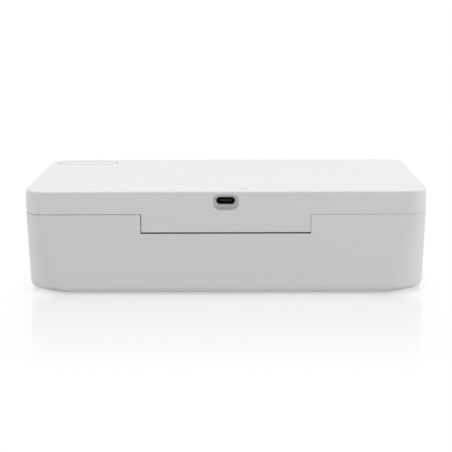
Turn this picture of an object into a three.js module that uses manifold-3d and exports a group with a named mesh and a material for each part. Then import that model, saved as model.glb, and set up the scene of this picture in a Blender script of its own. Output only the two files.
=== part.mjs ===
// A sterilizing box: a white rectangular case with a hinged lid, a metallised tray inside and
// ultraviolet lamps in the lid. X runs across the box, Y from its front to its rear, Z up.
// The hinge tab and the inlet pocket are in the rear face, the button is at the front right of the top.
// Lengths are in millimetres. Inside the inner group heights are counted from the base's underside.

import * as THREE from 'three';
import { mergeVertices } from 'three/addons/utils/BufferGeometryUtils.js';
import Module from 'manifold-3d';

const wasm = await Module();
wasm.setup();

// Outer skin
const boxWidth = 200;
const boxDepth = 110;
const shellHeight = 51.6;
const lidHeight = 11.7;
const seamGap = 0.3;
const seamCornerRadius = 11;
const bottomCornerRadius = 19;
const bottomCornerFlare = 14;
const topFillet = 0.9;
const bottomCurve = 6;
const bottomTurn = THREE.MathUtils.degToRad(26);
const bottomEdge = 0.6;
const baseDraft = THREE.MathUtils.degToRad(0.1);
const lidDraft = THREE.MathUtils.degToRad(0.8);
const wall = 2;

// Clearances and the overrun of every cut
const seatGap = 0.2;
const boreGap = 0.25;
const overrun = 2;

// Feet and the screws above them
const footRadius = 6;
const footProud = 0.6;
const footThickness = 1.4;
const footInsetX = 20;
const footInsetY = 19;
const footDomeRadius = 5.2;

// Screws: the head with its round drive recess, and the shank
const screwHeadRadius = 2.2;
const screwHeadHeight = 0.7;
const screwShankRadius = 1;
const screwSocketRadius = 0.9;
const screwSocketDepth = 0.4;
const baseScrewLength = 3.3;
const lidScrewLength = 5.8;
const boardScrewLength = 4.4;
const screwBossWall = 1.8;

// Hinge
const tabHalfWidth = 41.7;
const tabSideGap = 0.4;
const tabDrop = 8.9;
const tabRootRise = 1.5;
const tabBottomGap = 0.8;
const hingeInset = 2.6;
const barrelRadius = 2.2;
const baseBarrelRadius = 2.4;
const baseBarrelLength = 9.7;
const shaftRadius = 1;
const shaftEndInset = 1.5;
const tabSweepGap = 0.3;
const lipSweepGap = 0.25;

// Thumb scoop in the front wall
const scoopHalfLength = 14;
const scoopDepth = 1.2;
const scoopDrop = 5;

// Inlet pocket in the rear of the lid and the connector in it
const pocketWidth = 12.7;
const pocketHeight = 8.3;
const pocketRadius = 3.2;
const pocketDepth = 6;
const pocketWall = 1;
const pocketFloor = 1.5;
const inletDrop = 5.75;
const portShellWidth = 8.94;
const portShellHeight = 3.26;
const portShellLength = 7.35;
const portShellWall = 0.3;
const portHoleGap = 0.21;
const tongueWidth = 6.7;
const tongueThickness = 0.7;
const tongueInset = 0.9;
const tongueRootLength = 1.4;

// Power button
const buttonInsetX = 21;
const buttonInsetY = 13;
const buttonLength = 32.5;
const buttonWidth = 12.1;
const buttonGap = 0.4;
const buttonBevel = 0.2;
const buttonFlange = 1.3;
const buttonFlangeThickness = 1.1;
const buttonPostRadius = 2;
const buttonPostLength = 0.8;
const buttonTravel = 0.5;

// Push switch under the button
const switchSide = 6;
const switchHeight = 2.5;
const plungerRadius = 1.6;
const plungerHeight = 1.7;
const plungerProud = 0.7;

// Status light
const lightX = -8.7;
const lightInset = 7.5;
const pipeRadius = 1.9;
const pipeStemRadius = 1.4;
const pipeHeadHeight = 3;
const statusLedSide = 1.6;
const statusLedHeight = 0.7;
const statusLedOffset = 0.5;

// Inner cover of the lid
const innerCoverRise = 1.1;
const innerCoverThickness = 1.5;
const screwCounterbore = 0.9;
const headGap = 0.3;

// Main board and what it carries
const boardThickness = 1.2;
const mainBoardWidth = 60;
const mainBoardLength = 32.4;
const mainBoardInset = 4.6;
const boardNotchGap = 0.35;
const boardScrewInset = 4;
const boardScrewRearInset = 6.5;
const boardPostRadius = 2.4;
const chipSide = 7;
const chipHeight = 1;
const inductorSide = 8;
const inductorHeight = 3.4;
const inductorBevel = 0.8;
const capacitorRadius = 2.5;
const capacitorHeight = 4;
const capacitorPitch = 7.5;

// Switch board
const switchBoardWidth = 26;
const switchBoardLength = 12;
const switchBoardThickness = 1;
const switchBoardOffsetX = -3;
const switchBoardOffsetY = 1;
const sensorWidth = 3;
const sensorLength = 4;
const sensorHeight = 1;
const sensorInset = 3.2;

// Lamp boards, lamps and windows
const lampBoardWidth = 24;
const lampBoardInset = 25;
const lampBoardThickness = 1;
const lampXShare = 0.57;
const lampEndInset = 10;
const lampSide = 3.5;
const lampHeight = 1.2;
const lampBoardPostRadius = 2;
const lampBoardPostInset = 3;
const windowRadius = 6;
const windowThickness = 0.9;
const windowLedge = 1.2;

// Flat cables
const ribbonWidth = 5;
const ribbonThickness = 0.25;
const ribbonLanding = 4;

// Magnets that hold the lid shut
const magnetX = 60;
const magnetLength = 12;
const magnetThickness = 2;
const magnetHeight = 5;

// Tray
const trayBottom = 4.6;
const trayFloor = 1.6;
const trayWall = 1.5;
const traySideGap = 0.8;
const trayFrontGap = 2.8;
const trayRearGap = 4.5;
const trayFillet = 4;
const trayRimDrop = 0.4;
const trayRimThickness = 0.8;
const trayRimNotchHalf = 54;
const trayRibEndInset = 30;
const trayRibWidth = 2;
const trayRibHeight = 1.2;
const trayRibPitch = 17;
const trayRibCount = 5;
const trayBossRadius = 4;
const trayBossHeight = 1;
const floorBossRadius = 4.2;
const floorBossHeight = 1.4;

// Seal on the tray's rim
const sealWidth = 1;
const sealHeight = 0.8;
const sealEdge = 0.2;

// Facets
const cornerSteps = 9;
const filletSteps = 4;
const roundSteps = 24;
const smallSteps = 12;

// Derived heights and places
const seamHeight = shellHeight - lidHeight;
const lidBottom = seamHeight + seamGap / 2;
const rimTop = seamHeight - seamGap / 2;
const ceiling = shellHeight - wall;
const footCurveHeight = bottomCurve * Math.sin(bottomTurn);
const footHeight = footCurveHeight + bottomEdge * (1 - Math.sin(bottomTurn));
const halfWidth = boxWidth / 2;
const halfDepth = boxDepth / 2;
const hingeY = halfDepth - hingeInset;
const tabBottom = seamHeight - tabDrop;
const hingeZ = tabBottom + barrelRadius;
const notchHalfWidth = tabHalfWidth + tabSideGap;
const boreRadius = shaftRadius + boreGap;
const innerCoverHeight = seamHeight + innerCoverRise;
const innerCoverTop = innerCoverHeight + innerCoverThickness;
const trayRear = halfDepth - wall - trayRearGap;
const trayRimTop = rimTop - trayRimDrop + seatGap;
const inletHeight = shellHeight - inletDrop;
const portShellBottom = inletHeight - portShellHeight / 2;
const mainBoardTop = portShellBottom - seatGap;
const mainBoardBottom = mainBoardTop - boardThickness;
const mainBoardRear = halfDepth - mainBoardInset;
const lightY = halfDepth - lightInset;
const pocketFloorY = halfDepth - pocketDepth;
const pocketBlockY = pocketFloorY - pocketFloor;
const pocketBlockHalfWidth = pocketWidth / 2 + pocketWall;
const pocketBlockBottom = inletHeight - pocketHeight / 2 - pocketWall;
const buttonX = halfWidth - buttonInsetX;
const buttonY = buttonInsetY - halfDepth;
const switchBoardX = buttonX + switchBoardOffsetX;
const switchBoardY = buttonY + switchBoardOffsetY;
const buttonFlangeTop = ceiling - seatGap;
const buttonFlangeBottom = buttonFlangeTop - buttonFlangeThickness;
const plungerTop = buttonFlangeBottom - buttonPostLength - seatGap;
const switchTop = plungerTop - plungerProud;
const switchBottom = switchTop - switchHeight;
const switchBoardTop = switchBottom - seatGap;
const lampX = lampXShare * halfWidth;
const lampBoardLength = boxDepth - lampBoardInset * 2;
const lampY = lampBoardLength / 2 - lampEndInset;
const lampTop = innerCoverTop + seatGap + lampHeight;
const lampBoardBottom = lampTop + seatGap;
const lampBoardTop = lampBoardBottom + lampBoardThickness;
const lampRibbonY = lampBoardLength / 2 - ribbonWidth / 2;
const screwHoleRadius = screwShankRadius + seatGap;
const screwHeadHoleRadius = screwHeadRadius + headGap;
const footX = halfWidth - footInsetX;
const footY = halfDepth - footInsetY;
const footTop = footThickness - footProud;
const footRecess = footTop + seatGap;

// Places of repeated pieces, as shares of the half width and half depth of the box
const lidScrewShares = [
  [0.46, -0.85],
  [-0.46, -0.85],
  [0.92, -0.36],
  [-0.92, -0.36],
  [0.8, 0.84],
  [-0.8, 0.84],
];
const cornerSigns = [[1, 1], [-1, 1], [-1, -1], [1, -1]];

const materials = {
  whiteShell: { color: 0xf4f4f4, roughness: 0.42, metalness: 0 },
  whiteButton: { color: 0xeeeeee, roughness: 0.45, metalness: 0 },
  lightPipe: { color: 0xe4e6ea, roughness: 0.3, metalness: 0 },
  mirrorTray: { color: 0xc9ccd0, roughness: 0.18, metalness: 0.9 },
  quartz: { color: 0xdfe6f2, roughness: 0.05, metalness: 0 },
  rubber: { color: 0x9a9a9a, roughness: 0.8, metalness: 0 },
  steel: { color: 0xb4b6b9, roughness: 0.3, metalness: 1 },
  magnet: { color: 0x8d9094, roughness: 0.35, metalness: 1 },
  board: { color: 0x1f6b3c, roughness: 0.55, metalness: 0 },
  lampBoard: { color: 0xe9e9e6, roughness: 0.5, metalness: 0 },
  chip: { color: 0x1c1c1e, roughness: 0.5, metalness: 0 },
  lamp: { color: 0xd8c894, roughness: 0.4, metalness: 0.3 },
  ribbon: { color: 0xf0f0ee, roughness: 0.5, metalness: 0 },
  tongue: { color: 0x2a2a2c, roughness: 0.5, metalness: 0 },
  capacitor: { color: 0xa9b0b8, roughness: 0.35, metalness: 0.8 },
};

// A closed three.js geometry as a solid
function solid(geometry) {
  const bare = geometry.clone();
  bare.deleteAttribute('normal');
  bare.deleteAttribute('uv');
  const merged = mergeVertices(bare);
  const vertProperties = new Float32Array(merged.attributes.position.array);
  const triVerts = new Uint32Array(merged.index.array);
  return new wasm.Manifold(new wasm.Mesh({ numProp: 3, vertProperties, triVerts }));
}

// A solid as a three.js geometry
function geometryOf(body) {
  const { vertProperties, triVerts } = body.getMesh();
  const geometry = new THREE.BufferGeometry();
  geometry.setAttribute('position', new THREE.BufferAttribute(new Float32Array(vertProperties), 3));
  geometry.setIndex(new THREE.BufferAttribute(new Uint32Array(triVerts), 1));
  geometry.computeVertexNormals();
  return geometry;
}

// A box between two corners
function block(low, high) {
  const size = high.map((value, axis) => value - low[axis]);
  const centre = high.map((value, axis) => (value + low[axis]) / 2);
  return new THREE.BoxGeometry(...size).translate(...centre);
}

// An upright cylinder between two heights
function post(radius, bottom, top, x, y, steps = smallSteps) {
  const cylinder = new THREE.CylinderGeometry(radius, radius, top - bottom, steps);
  return cylinder.rotateX(Math.PI / 2).translate(x, y, (top + bottom) / 2);
}

// A cylinder along X at the hinge's axis
function hingeRod(radius, left, right) {
  const cylinder = new THREE.CylinderGeometry(radius, radius, right - left, roundSteps);
  return cylinder.rotateZ(Math.PI / 2).translate((left + right) / 2, hingeY, hingeZ);
}

// A shape with straight sides and round corners, about its centre
function roundedShape(width, height, radius, target = new THREE.Shape()) {
  const x = width / 2 - radius;
  const y = height / 2 - radius;
  target.absarc(x, y, radius, 0, Math.PI / 2);
  target.absarc(-x, y, radius, Math.PI / 2, Math.PI);
  target.absarc(-x, -y, radius, Math.PI, Math.PI * 1.5);
  target.absarc(x, -y, radius, Math.PI * 1.5, Math.PI * 2);
  return target;
}

// A shape drawn out upright between two heights
function upright(shape, bottom, top, steps = cornerSteps) {
  const options = { depth: top - bottom, bevelEnabled: false, curveSegments: steps };
  return new THREE.ExtrudeGeometry(shape, options).translate(0, 0, bottom);
}

// A shape drawn out from front to rear, its own Y turned up
function alongY(shape, front, rear, steps = cornerSteps) {
  const options = { depth: rear - front, bevelEnabled: false, curveSegments: steps };
  return new THREE.ExtrudeGeometry(shape, options).rotateX(Math.PI / 2).translate(0, rear, 0);
}

// How far a rounded edge draws the skin in; depth is measured from the start of the round
function edgeInset(radius, depth) {
  if (radius <= 0 || depth <= 0) {
    return 0;
  }
  return radius - Math.sqrt(Math.max(radius * radius - depth * depth, 0));
}

// How far the foot of the walls draws the skin in: a slow curve, and below its turn a small edge
function footInset(z) {
  const depth = footHeight - z;
  if (depth <= footCurveHeight) {
    return edgeInset(bottomCurve, depth);
  }
  const sine = Math.min(Math.sin(bottomTurn) + (depth - footCurveHeight) / bottomEdge, 1);
  const edge = bottomEdge * (Math.cos(bottomTurn) - Math.sqrt(1 - sine * sine));
  return edgeInset(bottomCurve, footCurveHeight) + edge;
}

// Half sizes and corner radius of the skin at a height, drawn in by an inset. The foot of the walls
// widens at the corners, where the radius grows by the flare from its start to the underside.
function bodyOutline(z, inset) {
  const below = Math.max(seamHeight - z, 0);
  const above = Math.max(z - seamHeight, 0);
  const taper = below * Math.tan(baseDraft) + above * Math.tan(lidDraft);
  const foot = footInset(z);
  const topEdge = edgeInset(topFillet - inset, z - (shellHeight - topFillet));
  const draw = taper + foot + topEdge + inset;
  const cone = (bottomCornerRadius - seamCornerRadius) * below / seamHeight;
  const flare = bottomCornerFlare * foot / footInset(0);
  return {
    halfX: halfWidth - draw,
    halfY: halfDepth - draw,
    centreY: 0,
    radius: seamCornerRadius + cone + flare - draw,
  };
}

// Half sizes, centre and corner radius of the tray's outside at a height, drawn in by an inset
function trayOutline(z, inset) {
  const skin = bodyOutline(Math.max(z, footHeight), wall);
  const draw = edgeInset(trayFillet - inset, trayBottom + trayFillet - z) + inset;
  const front = skin.halfY - trayFrontGap - draw;
  const rear = trayRear - draw;
  return {
    halfX: skin.halfX - traySideGap - draw,
    halfY: (front + rear) / 2,
    centreY: (rear - front) / 2,
    radius: skin.radius - traySideGap - draw,
  };
}

// The points of one level ring, anticlockwise seen from above
function ringPoints({ halfX, halfY, centreY, radius }, z) {
  const points = [];
  for (let corner = 0; corner < 4; corner += 1) {
    const [signX, signY] = cornerSigns[corner];
    for (let step = 0; step <= cornerSteps; step += 1) {
      const angle = (corner + step / cornerSteps) * Math.PI / 2;
      const x = signX * (halfX - radius) + radius * Math.cos(angle);
      const y = centreY + signY * (halfY - radius) + radius * Math.sin(angle);
      points.push(x, y, z);
    }
  }
  return points;
}

// A closed skin over rings of equal count, from the lowest to the highest
function loft(rings) {
  const count = rings[0].length / 3;
  const last = (rings.length - 1) * count;
  const index = [];
  for (let ring = 0; ring < last; ring += count) {
    for (let step = 0; step < count; step += 1) {
      const next = (step + 1) % count;
      index.push(ring + step, ring + next, ring + count + next);
      index.push(ring + step, ring + count + next, ring + count + step);
    }
  }
  for (let step = 1; step + 1 < count; step += 1) {
    index.push(0, step + 1, step);
    index.push(last, last + step, last + step + 1);
  }
  const geometry = new THREE.BufferGeometry();
  geometry.setAttribute('position', new THREE.Float32BufferAttribute(rings.flat(), 3));
  geometry.setIndex(index);
  return geometry;
}

// A lofted solid of an outline function through a list of heights
function outlineSolid(outline, inset, heights) {
  return solid(loft(heights.map((z) => ringPoints(outline(z, inset), z))));
}

// Heights that follow a round of the given radius, from its tangent level up or down to its end
function filletHeights(tangent, radius, direction) {
  const heights = [];
  for (let step = 0; step <= filletSteps; step += 1) {
    heights.push(tangent + direction * radius * Math.sin(step / filletSteps * Math.PI / 2));
  }
  return heights;
}

// Heights of the rings down the foot of the walls, from the underside up
function footHeights() {
  const heights = [];
  for (let step = 0; step <= filletSteps; step += 1) {
    const edgeTurn = Math.PI / 2 + (bottomTurn - Math.PI / 2) * step / filletSteps;
    heights.push(bottomEdge * (1 - Math.sin(edgeTurn)));
  }
  for (let step = 1; step <= filletSteps; step += 1) {
    heights.push(footHeight - bottomCurve * Math.sin(bottomTurn * (1 - step / filletSteps)));
  }
  return heights;
}

function joined(first, ...others) {
  return others.reduce((whole, other) => whole.add(other), first);
}

function cutBy(first, ...others) {
  return others.reduce((whole, other) => whole.subtract(other), first);
}

// A screw with its head down at height zero and its shank up
function screwGeometry(shankLength) {
  const tip = screwHeadHeight + shankLength;
  const profile = [
    [0, screwSocketDepth],
    [screwSocketRadius, screwSocketDepth],
    [screwSocketRadius, 0],
    [screwHeadRadius, 0],
    [screwHeadRadius, screwHeadHeight],
    [screwShankRadius, screwHeadHeight],
    [screwShankRadius, tip],
    [0, tip],
  ];
  const points = profile.map(([radius, z]) => new THREE.Vector2(radius, z));
  return new THREE.LatheGeometry(points, smallSteps).rotateX(Math.PI / 2);
}

const box = new THREE.Group();
const inner = new THREE.Group();
inner.position.z = footProud;
box.add(inner);

// Put a named piece of one material into the box
function place(name, geometry, material, x = 0, y = 0, z = 0) {
  const mesh = new THREE.Mesh(geometry, new THREE.MeshStandardMaterial(materials[material]));
  mesh.name = name;
  mesh.position.set(x, y, z);
  inner.add(mesh);
}

// The wall that closes the notch of the base, with the hinge barrel on its inside
function hingeTab() {
  const heights = [tabBottom - overrun, seamHeight, lidBottom + tabRootRise];
  const skin = outlineSolid(bodyOutline, 0, heights);
  const low = [-tabHalfWidth, halfDepth - wall, tabBottom];
  const high = [tabHalfWidth, halfDepth + overrun, lidBottom + tabRootRise];
  const barrel = solid(hingeRod(barrelRadius, -tabHalfWidth, tabHalfWidth));
  return skin.intersect(solid(block(low, high))).add(barrel);
}

// The walls round the inlet pocket, inside the lid's rear wall
function pocketBlock() {
  const low = [-pocketBlockHalfWidth, pocketBlockY, pocketBlockBottom];
  const high = [pocketBlockHalfWidth, halfDepth - wall / 2, ceiling + wall / 2];
  return solid(block(low, high));
}

// The hollow of the inlet pocket and the hole in its floor
function pocketCut() {
  const mouth = roundedShape(pocketWidth, pocketHeight, pocketRadius);
  const hollow = alongY(mouth, pocketFloorY, halfDepth + overrun).translate(0, 0, inletHeight);
  const holeHeight = portShellHeight + portHoleGap * 2;
  const hole = roundedShape(portShellWidth + portHoleGap * 2, holeHeight, holeHeight / 2);
  const port = alongY(hole, pocketBlockY - overrun, halfDepth).translate(0, 0, inletHeight);
  return solid(hollow).add(solid(port));
}

function buttonAperture() {
  const width = buttonWidth + buttonGap * 2;
  const shape = roundedShape(buttonLength + buttonGap * 2, width, width / 2);
  const hole = upright(shape, ceiling - overrun, shellHeight + overrun);
  return solid(hole.translate(buttonX, buttonY, 0));
}

function lightPipeHole() {
  const bottom = mainBoardTop;
  return solid(post(pipeRadius + seatGap, bottom, shellHeight + overrun, lightX, lightY, roundSteps));
}

function lidScrewPlaces() {
  return lidScrewShares.map(([x, y]) => [x * halfWidth, y * halfDepth]);
}

function boardScrewPlaces() {
  const x = mainBoardWidth / 2 - boardScrewInset;
  const front = mainBoardRear - mainBoardLength + boardScrewInset;
  const rear = mainBoardRear - boardScrewRearInset;
  return [[x, rear], [-x, rear], [-x, front], [x, front]];
}

// Posts under the lid's ceiling that take the screws of the inner cover and of the main board
function lidPosts() {
  const radius = screwHoleRadius + screwBossWall;
  const top = ceiling + wall / 2;
  const bottom = innerCoverTop + seatGap;
  const cover = lidScrewPlaces().map(([x, y]) => solid(post(radius, bottom, top, x, y)));
  const boardBottom = mainBoardTop + seatGap;
  const board = boardScrewPlaces().map(([x, y]) => solid(post(boardPostRadius, boardBottom, top, x, y)));
  return [...cover, ...board];
}

// The blind holes of those posts
function lidPostHoles() {
  const coverTop = innerCoverHeight + screwHeadHeight + lidScrewLength + seatGap * 2;
  const boardTop = mainBoardBottom + boardScrewLength + seatGap;
  const cover = lidScrewPlaces().map(([x, y]) => solid(
    post(screwHoleRadius, innerCoverHeight, coverTop, x, y)));
  const board = boardScrewPlaces().map(([x, y]) => solid(
    post(screwHoleRadius, mainBoardBottom, boardTop, x, y)));
  return [...cover, ...board];
}

// The room that the base's rim needs as the lid turns: a round rod about the hinge's axis, whose ends
// narrow at the rear corners as the rim curves away under the axis
function lipSweep() {
  const rise = rimTop - hingeZ;
  const ends = [];
  for (let step = 0; step <= filletSteps; step += 1) {
    const inset = hingeInset * step / filletSteps;
    const run = Math.sqrt(seamCornerRadius ** 2 - (seamCornerRadius - inset) ** 2);
    const reach = Math.hypot(hingeInset - inset, rise) + lipSweepGap;
    ends.push([reach, halfWidth - seamCornerRadius + run]);
  }
  const length = ends[filletSteps][1];
  const profile = [[0, length], ...ends.reverse()];
  const mirrored = profile.map(([reach, along]) => [reach, -along]);
  const points = [...mirrored, ...profile.reverse()].map((pair) => new THREE.Vector2(...pair));
  const rod = new THREE.LatheGeometry(points, roundSteps).rotateZ(Math.PI / 2);
  return solid(rod.translate(0, hingeY, hingeZ));
}

function lidCover() {
  const rounds = filletHeights(shellHeight - topFillet, topFillet, 1);
  const skin = outlineSolid(bodyOutline, 0, [lidBottom, ...rounds]);
  const hollow = outlineSolid(bodyOutline, wall, [lidBottom - overrun, seamHeight, ceiling]);
  const bore = solid(hingeRod(boreRadius, -boxWidth, boxWidth));
  const shell = cutBy(skin, hollow, lipSweep());
  const whole = joined(shell, hingeTab(), pocketBlock(), ...lidPosts());
  const cuts = [bore, pocketCut(), buttonAperture(), lightPipeHole(), ...lidPostHoles()];
  return cutBy(whole, ...cuts);
}

// The four places of the lamps
function lampPlaces() {
  return cornerSigns.map(([signX, signY]) => [signX * lampX, signY * lampY]);
}

// Short posts on the inner cover that carry the corners of one lamp board
function lampBoardPosts(side) {
  const x = lampBoardWidth / 2 - lampBoardPostInset;
  const y = lampBoardLength / 2 - lampBoardPostInset;
  const bottom = innerCoverTop - innerCoverThickness / 2;
  const top = lampBoardBottom - seatGap;
  return cornerSigns.map(([signX, signY]) => solid(
    post(lampBoardPostRadius, bottom, top, side * lampX + signX * x, signY * y)));
}

// Openings of one lamp window: the light's way and the seat of the glass above it
function windowCuts([x, y]) {
  const seat = innerCoverTop - windowThickness - seatGap / 2;
  const top = innerCoverTop + overrun;
  const bottom = innerCoverHeight - overrun;
  const way = solid(post(windowRadius - windowLedge, bottom, top, x, y, roundSteps));
  const bed = solid(post(windowRadius + seatGap, seat, top, x, y, roundSteps));
  return way.add(bed);
}

// Holes of the inner cover's own screws, and hollows for the heads of the board screws
function innerCoverScrewCuts() {
  const low = innerCoverHeight - overrun;
  const bore = innerCoverHeight + screwCounterbore;
  const through = innerCoverTop + overrun;
  const own = lidScrewPlaces().flatMap(([x, y]) => [
    solid(post(screwHeadHoleRadius, low, bore, x, y)),
    solid(post(screwHoleRadius, low, through, x, y)),
  ]);
  const headBottom = mainBoardBottom - screwHeadHeight - seatGap * 2;
  const board = boardScrewPlaces().map(([x, y]) => solid(
    post(screwHeadHoleRadius, headBottom, through, x, y)));
  return [...own, ...board];
}

function lidInnerCover() {
  const plate = outlineSolid(bodyOutline, wall + seatGap, [innerCoverHeight, innerCoverTop]);
  const notchX = pocketBlockHalfWidth + seatGap;
  const low = [-notchX, pocketBlockY - seatGap, innerCoverHeight - overrun];
  const high = [notchX, boxDepth, innerCoverTop + overrun];
  const whole = joined(plate, ...lampBoardPosts(1), ...lampBoardPosts(-1));
  const cuts = [solid(block(low, high)), ...lampPlaces().map(windowCuts), ...innerCoverScrewCuts()];
  return cutBy(whole, ...cuts);
}

function quartzWindow() {
  return post(windowRadius, innerCoverTop - windowThickness, innerCoverTop, 0, 0, roundSteps);
}

function uvLamp() {
  const half = lampSide / 2;
  return block([-half, -half, innerCoverTop + seatGap], [half, half, lampTop]);
}

function lampBoard() {
  const x = lampBoardWidth / 2;
  const y = lampBoardLength / 2;
  return block([-x, -y, lampBoardBottom], [x, y, lampBoardTop]);
}

// The main board, with a notch for the pocket's walls and holes for its screws
function mainBoard() {
  const front = mainBoardRear - mainBoardLength;
  const plate = solid(block(
    [-mainBoardWidth / 2, front, mainBoardBottom],
    [mainBoardWidth / 2, mainBoardRear, mainBoardTop],
  ));
  const notchX = pocketBlockHalfWidth + boardNotchGap;
  const notch = solid(block(
    [-notchX, pocketBlockY - boardNotchGap, mainBoardBottom - overrun],
    [notchX, mainBoardRear + overrun, mainBoardTop + overrun],
  ));
  const holes = boardScrewPlaces().map(([x, y]) => solid(
    post(screwHoleRadius, mainBoardBottom - overrun, mainBoardTop + overrun, x, y)));
  return cutBy(plate, notch, ...holes);
}

// A plain block on top of the main board, about its own centre
function boardBlock(side, length, height) {
  const bottom = mainBoardTop + seatGap;
  return block([-side / 2, -length / 2, bottom], [side / 2, length / 2, bottom + height]);
}

// A square coil body whose edges are cut off at the corners
function inductor() {
  const half = inductorSide / 2;
  const edge = half - inductorBevel;
  const corners = [
    [half, -edge], [half, edge], [edge, half], [-edge, half],
    [-half, edge], [-half, -edge], [-edge, -half], [edge, -half],
  ];
  const shape = new THREE.Shape(corners.map(([x, y]) => new THREE.Vector2(x, y)));
  const bottom = mainBoardTop + seatGap;
  return upright(shape, bottom, bottom + inductorHeight);
}

function capacitor() {
  const bottom = mainBoardTop + seatGap;
  return post(capacitorRadius, bottom, bottom + capacitorHeight, 0, 0);
}

// The connector's metal shell, an oval tube open at both ends
function usbShell() {
  const width = portShellWidth - portShellWall * 2;
  const height = portShellHeight - portShellWall * 2;
  const shape = roundedShape(portShellWidth, portShellHeight, portShellHeight / 2);
  shape.holes.push(roundedShape(width, height, height / 2, new THREE.Path()));
  const front = pocketFloorY - seatGap;
  return alongY(shape, front - portShellLength, front).translate(0, 0, inletHeight);
}

// The connector's tongue on a root that fills the inner end of the shell
function usbTongue() {
  const width = portShellWidth - portShellWall * 2 - seatGap;
  const height = portShellHeight - portShellWall * 2 - seatGap;
  const inner = pocketFloorY - seatGap - portShellLength;
  const root = alongY(roundedShape(width, height, height / 2), inner, inner + tongueRootLength);
  const plate = block(
    [-tongueWidth / 2, inner + tongueRootLength / 2, -tongueThickness / 2],
    [tongueWidth / 2, pocketFloorY - tongueInset, tongueThickness / 2],
  );
  return geometryOf(solid(root).add(solid(plate))).translate(0, 0, inletHeight);
}

// The button's cap, its flange under the lid's ceiling and the post that meets the plunger
function powerButton() {
  const capShape = roundedShape(
    buttonLength - buttonBevel * 2, buttonWidth - buttonBevel * 2, buttonWidth / 2 - buttonBevel);
  const capBottom = buttonFlangeTop - buttonFlangeThickness / 2;
  const cap = new THREE.ExtrudeGeometry(capShape, {
    depth: shellHeight - capBottom - buttonBevel * 2,
    bevelThickness: buttonBevel,
    bevelSize: buttonBevel,
    bevelSegments: 1,
    curveSegments: cornerSteps,
  }).translate(0, 0, capBottom + buttonBevel);
  const width = buttonWidth + buttonFlange * 2;
  const flangeShape = roundedShape(buttonLength + buttonFlange * 2, width, width / 2);
  const flange = upright(flangeShape, buttonFlangeBottom, buttonFlangeTop);
  const stemBottom = buttonFlangeBottom - buttonPostLength;
  const stem = post(buttonPostRadius, stemBottom, buttonFlangeTop, 0, 0);
  return joined(solid(cap), solid(flange), solid(stem));
}

function switchPlunger() {
  return post(plungerRadius, plungerTop - plungerHeight, plungerTop, 0, 0);
}

// The switch's body, with the blind hole that its plunger runs in
function switchBody() {
  const half = switchSide / 2;
  const body = solid(block([-half, -half, switchBottom], [half, half, switchTop]));
  const holeBottom = plungerTop - plungerHeight - buttonTravel - seatGap / 2;
  return body.subtract(solid(post(plungerRadius + seatGap, holeBottom, switchTop + overrun, 0, 0)));
}

function switchBoard() {
  const x = switchBoardWidth / 2;
  const y = switchBoardLength / 2;
  return block([-x, -y, switchBoardTop - switchBoardThickness], [x, y, switchBoardTop]);
}

function lidSensor() {
  const bottom = switchBoardTop + seatGap;
  const x = sensorWidth / 2;
  const y = sensorLength / 2;
  return block([-x, -y, bottom], [x, y, bottom + sensorHeight]);
}

// A stepped light pipe: a head through the lid's top and a stem down to the lamp on the board
function statusLightPipe() {
  const head = solid(post(pipeRadius, shellHeight - pipeHeadHeight, shellHeight, 0, 0, roundSteps));
  const bottom = mainBoardTop + seatGap * 2 + statusLedHeight;
  return head.add(solid(post(pipeStemRadius, bottom, shellHeight - wall, 0, 0)));
}

// A flat cable as a band that steps from one board's top to another's, drawn in its own plane
function ribbonShape(start, startHeight, end, endHeight) {
  const centre = [
    [start, startHeight],
    [start + ribbonLanding, startHeight],
    [end - ribbonLanding, endHeight],
    [end, endHeight],
  ];
  const half = ribbonThickness / 2;
  const lower = centre.map(([along, z]) => new THREE.Vector2(along, z - half));
  const upper = centre.map(([along, z]) => new THREE.Vector2(along, z + half)).reverse();
  return new THREE.Shape([...lower, ...upper]);
}

// The cable from the main board to the right lamp board, about its own middle line
function lampRibbon() {
  const start = mainBoardWidth / 2 - ribbonLanding;
  const end = lampX - lampBoardWidth / 2 + ribbonLanding;
  const rise = seatGap + ribbonThickness / 2;
  const shape = ribbonShape(start, mainBoardTop + rise, end, lampBoardTop + rise);
  return alongY(shape, -ribbonWidth / 2, ribbonWidth / 2);
}

// The cable from the switch board back to the right lamp board
function switchRibbon() {
  const start = switchBoardY + switchBoardLength / 2 - ribbonLanding;
  const end = -lampBoardLength / 2 + ribbonLanding;
  const rise = seatGap + ribbonThickness / 2;
  const shape = ribbonShape(start, switchBoardTop + rise, end, lampBoardTop + rise);
  const band = alongY(shape, -ribbonWidth / 2, ribbonWidth / 2);
  return band.rotateZ(Math.PI / 2);
}

function magnet() {
  const x = magnetLength / 2;
  const y = magnetThickness / 2;
  return block([-x, -y, 0], [x, y, magnetHeight]);
}

// The base's outside, hollowed, with the notch for the hinge tab
function baseSkin() {
  const skin = outlineSolid(bodyOutline, 0, [...footHeights(), rimTop]);
  const hollowHeights = [wall, footHeight, seamHeight, seamHeight + overrun];
  const hollow = outlineSolid(bodyOutline, wall, hollowHeights);
  const low = [-notchHalfWidth, hingeY - baseBarrelRadius, tabBottom - tabBottomGap];
  const high = [notchHalfWidth, halfDepth + overrun, rimTop + overrun];
  const notch = solid(block(low, high));
  const sweepRadius = Math.hypot(hingeInset, barrelRadius) + tabSweepGap;
  const sweep = solid(hingeRod(sweepRadius, -notchHalfWidth, notchHalfWidth));
  return cutBy(skin, hollow, notch, sweep);
}

// A shallow hollow in the front wall, where a thumb lifts the lid
function thumbScoop() {
  const ball = new THREE.SphereGeometry(1, roundSteps, smallSteps);
  const skin = bodyOutline(rimTop, 0);
  return solid(ball.scale(scoopHalfLength, scoopDepth, scoopDrop).translate(0, -skin.halfY, rimTop));
}

// Places of the feet and of the screws above them
function footPlaces() {
  return cornerSigns.map(([signX, signY]) => [signX * footX, signY * footY]);
}

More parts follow.
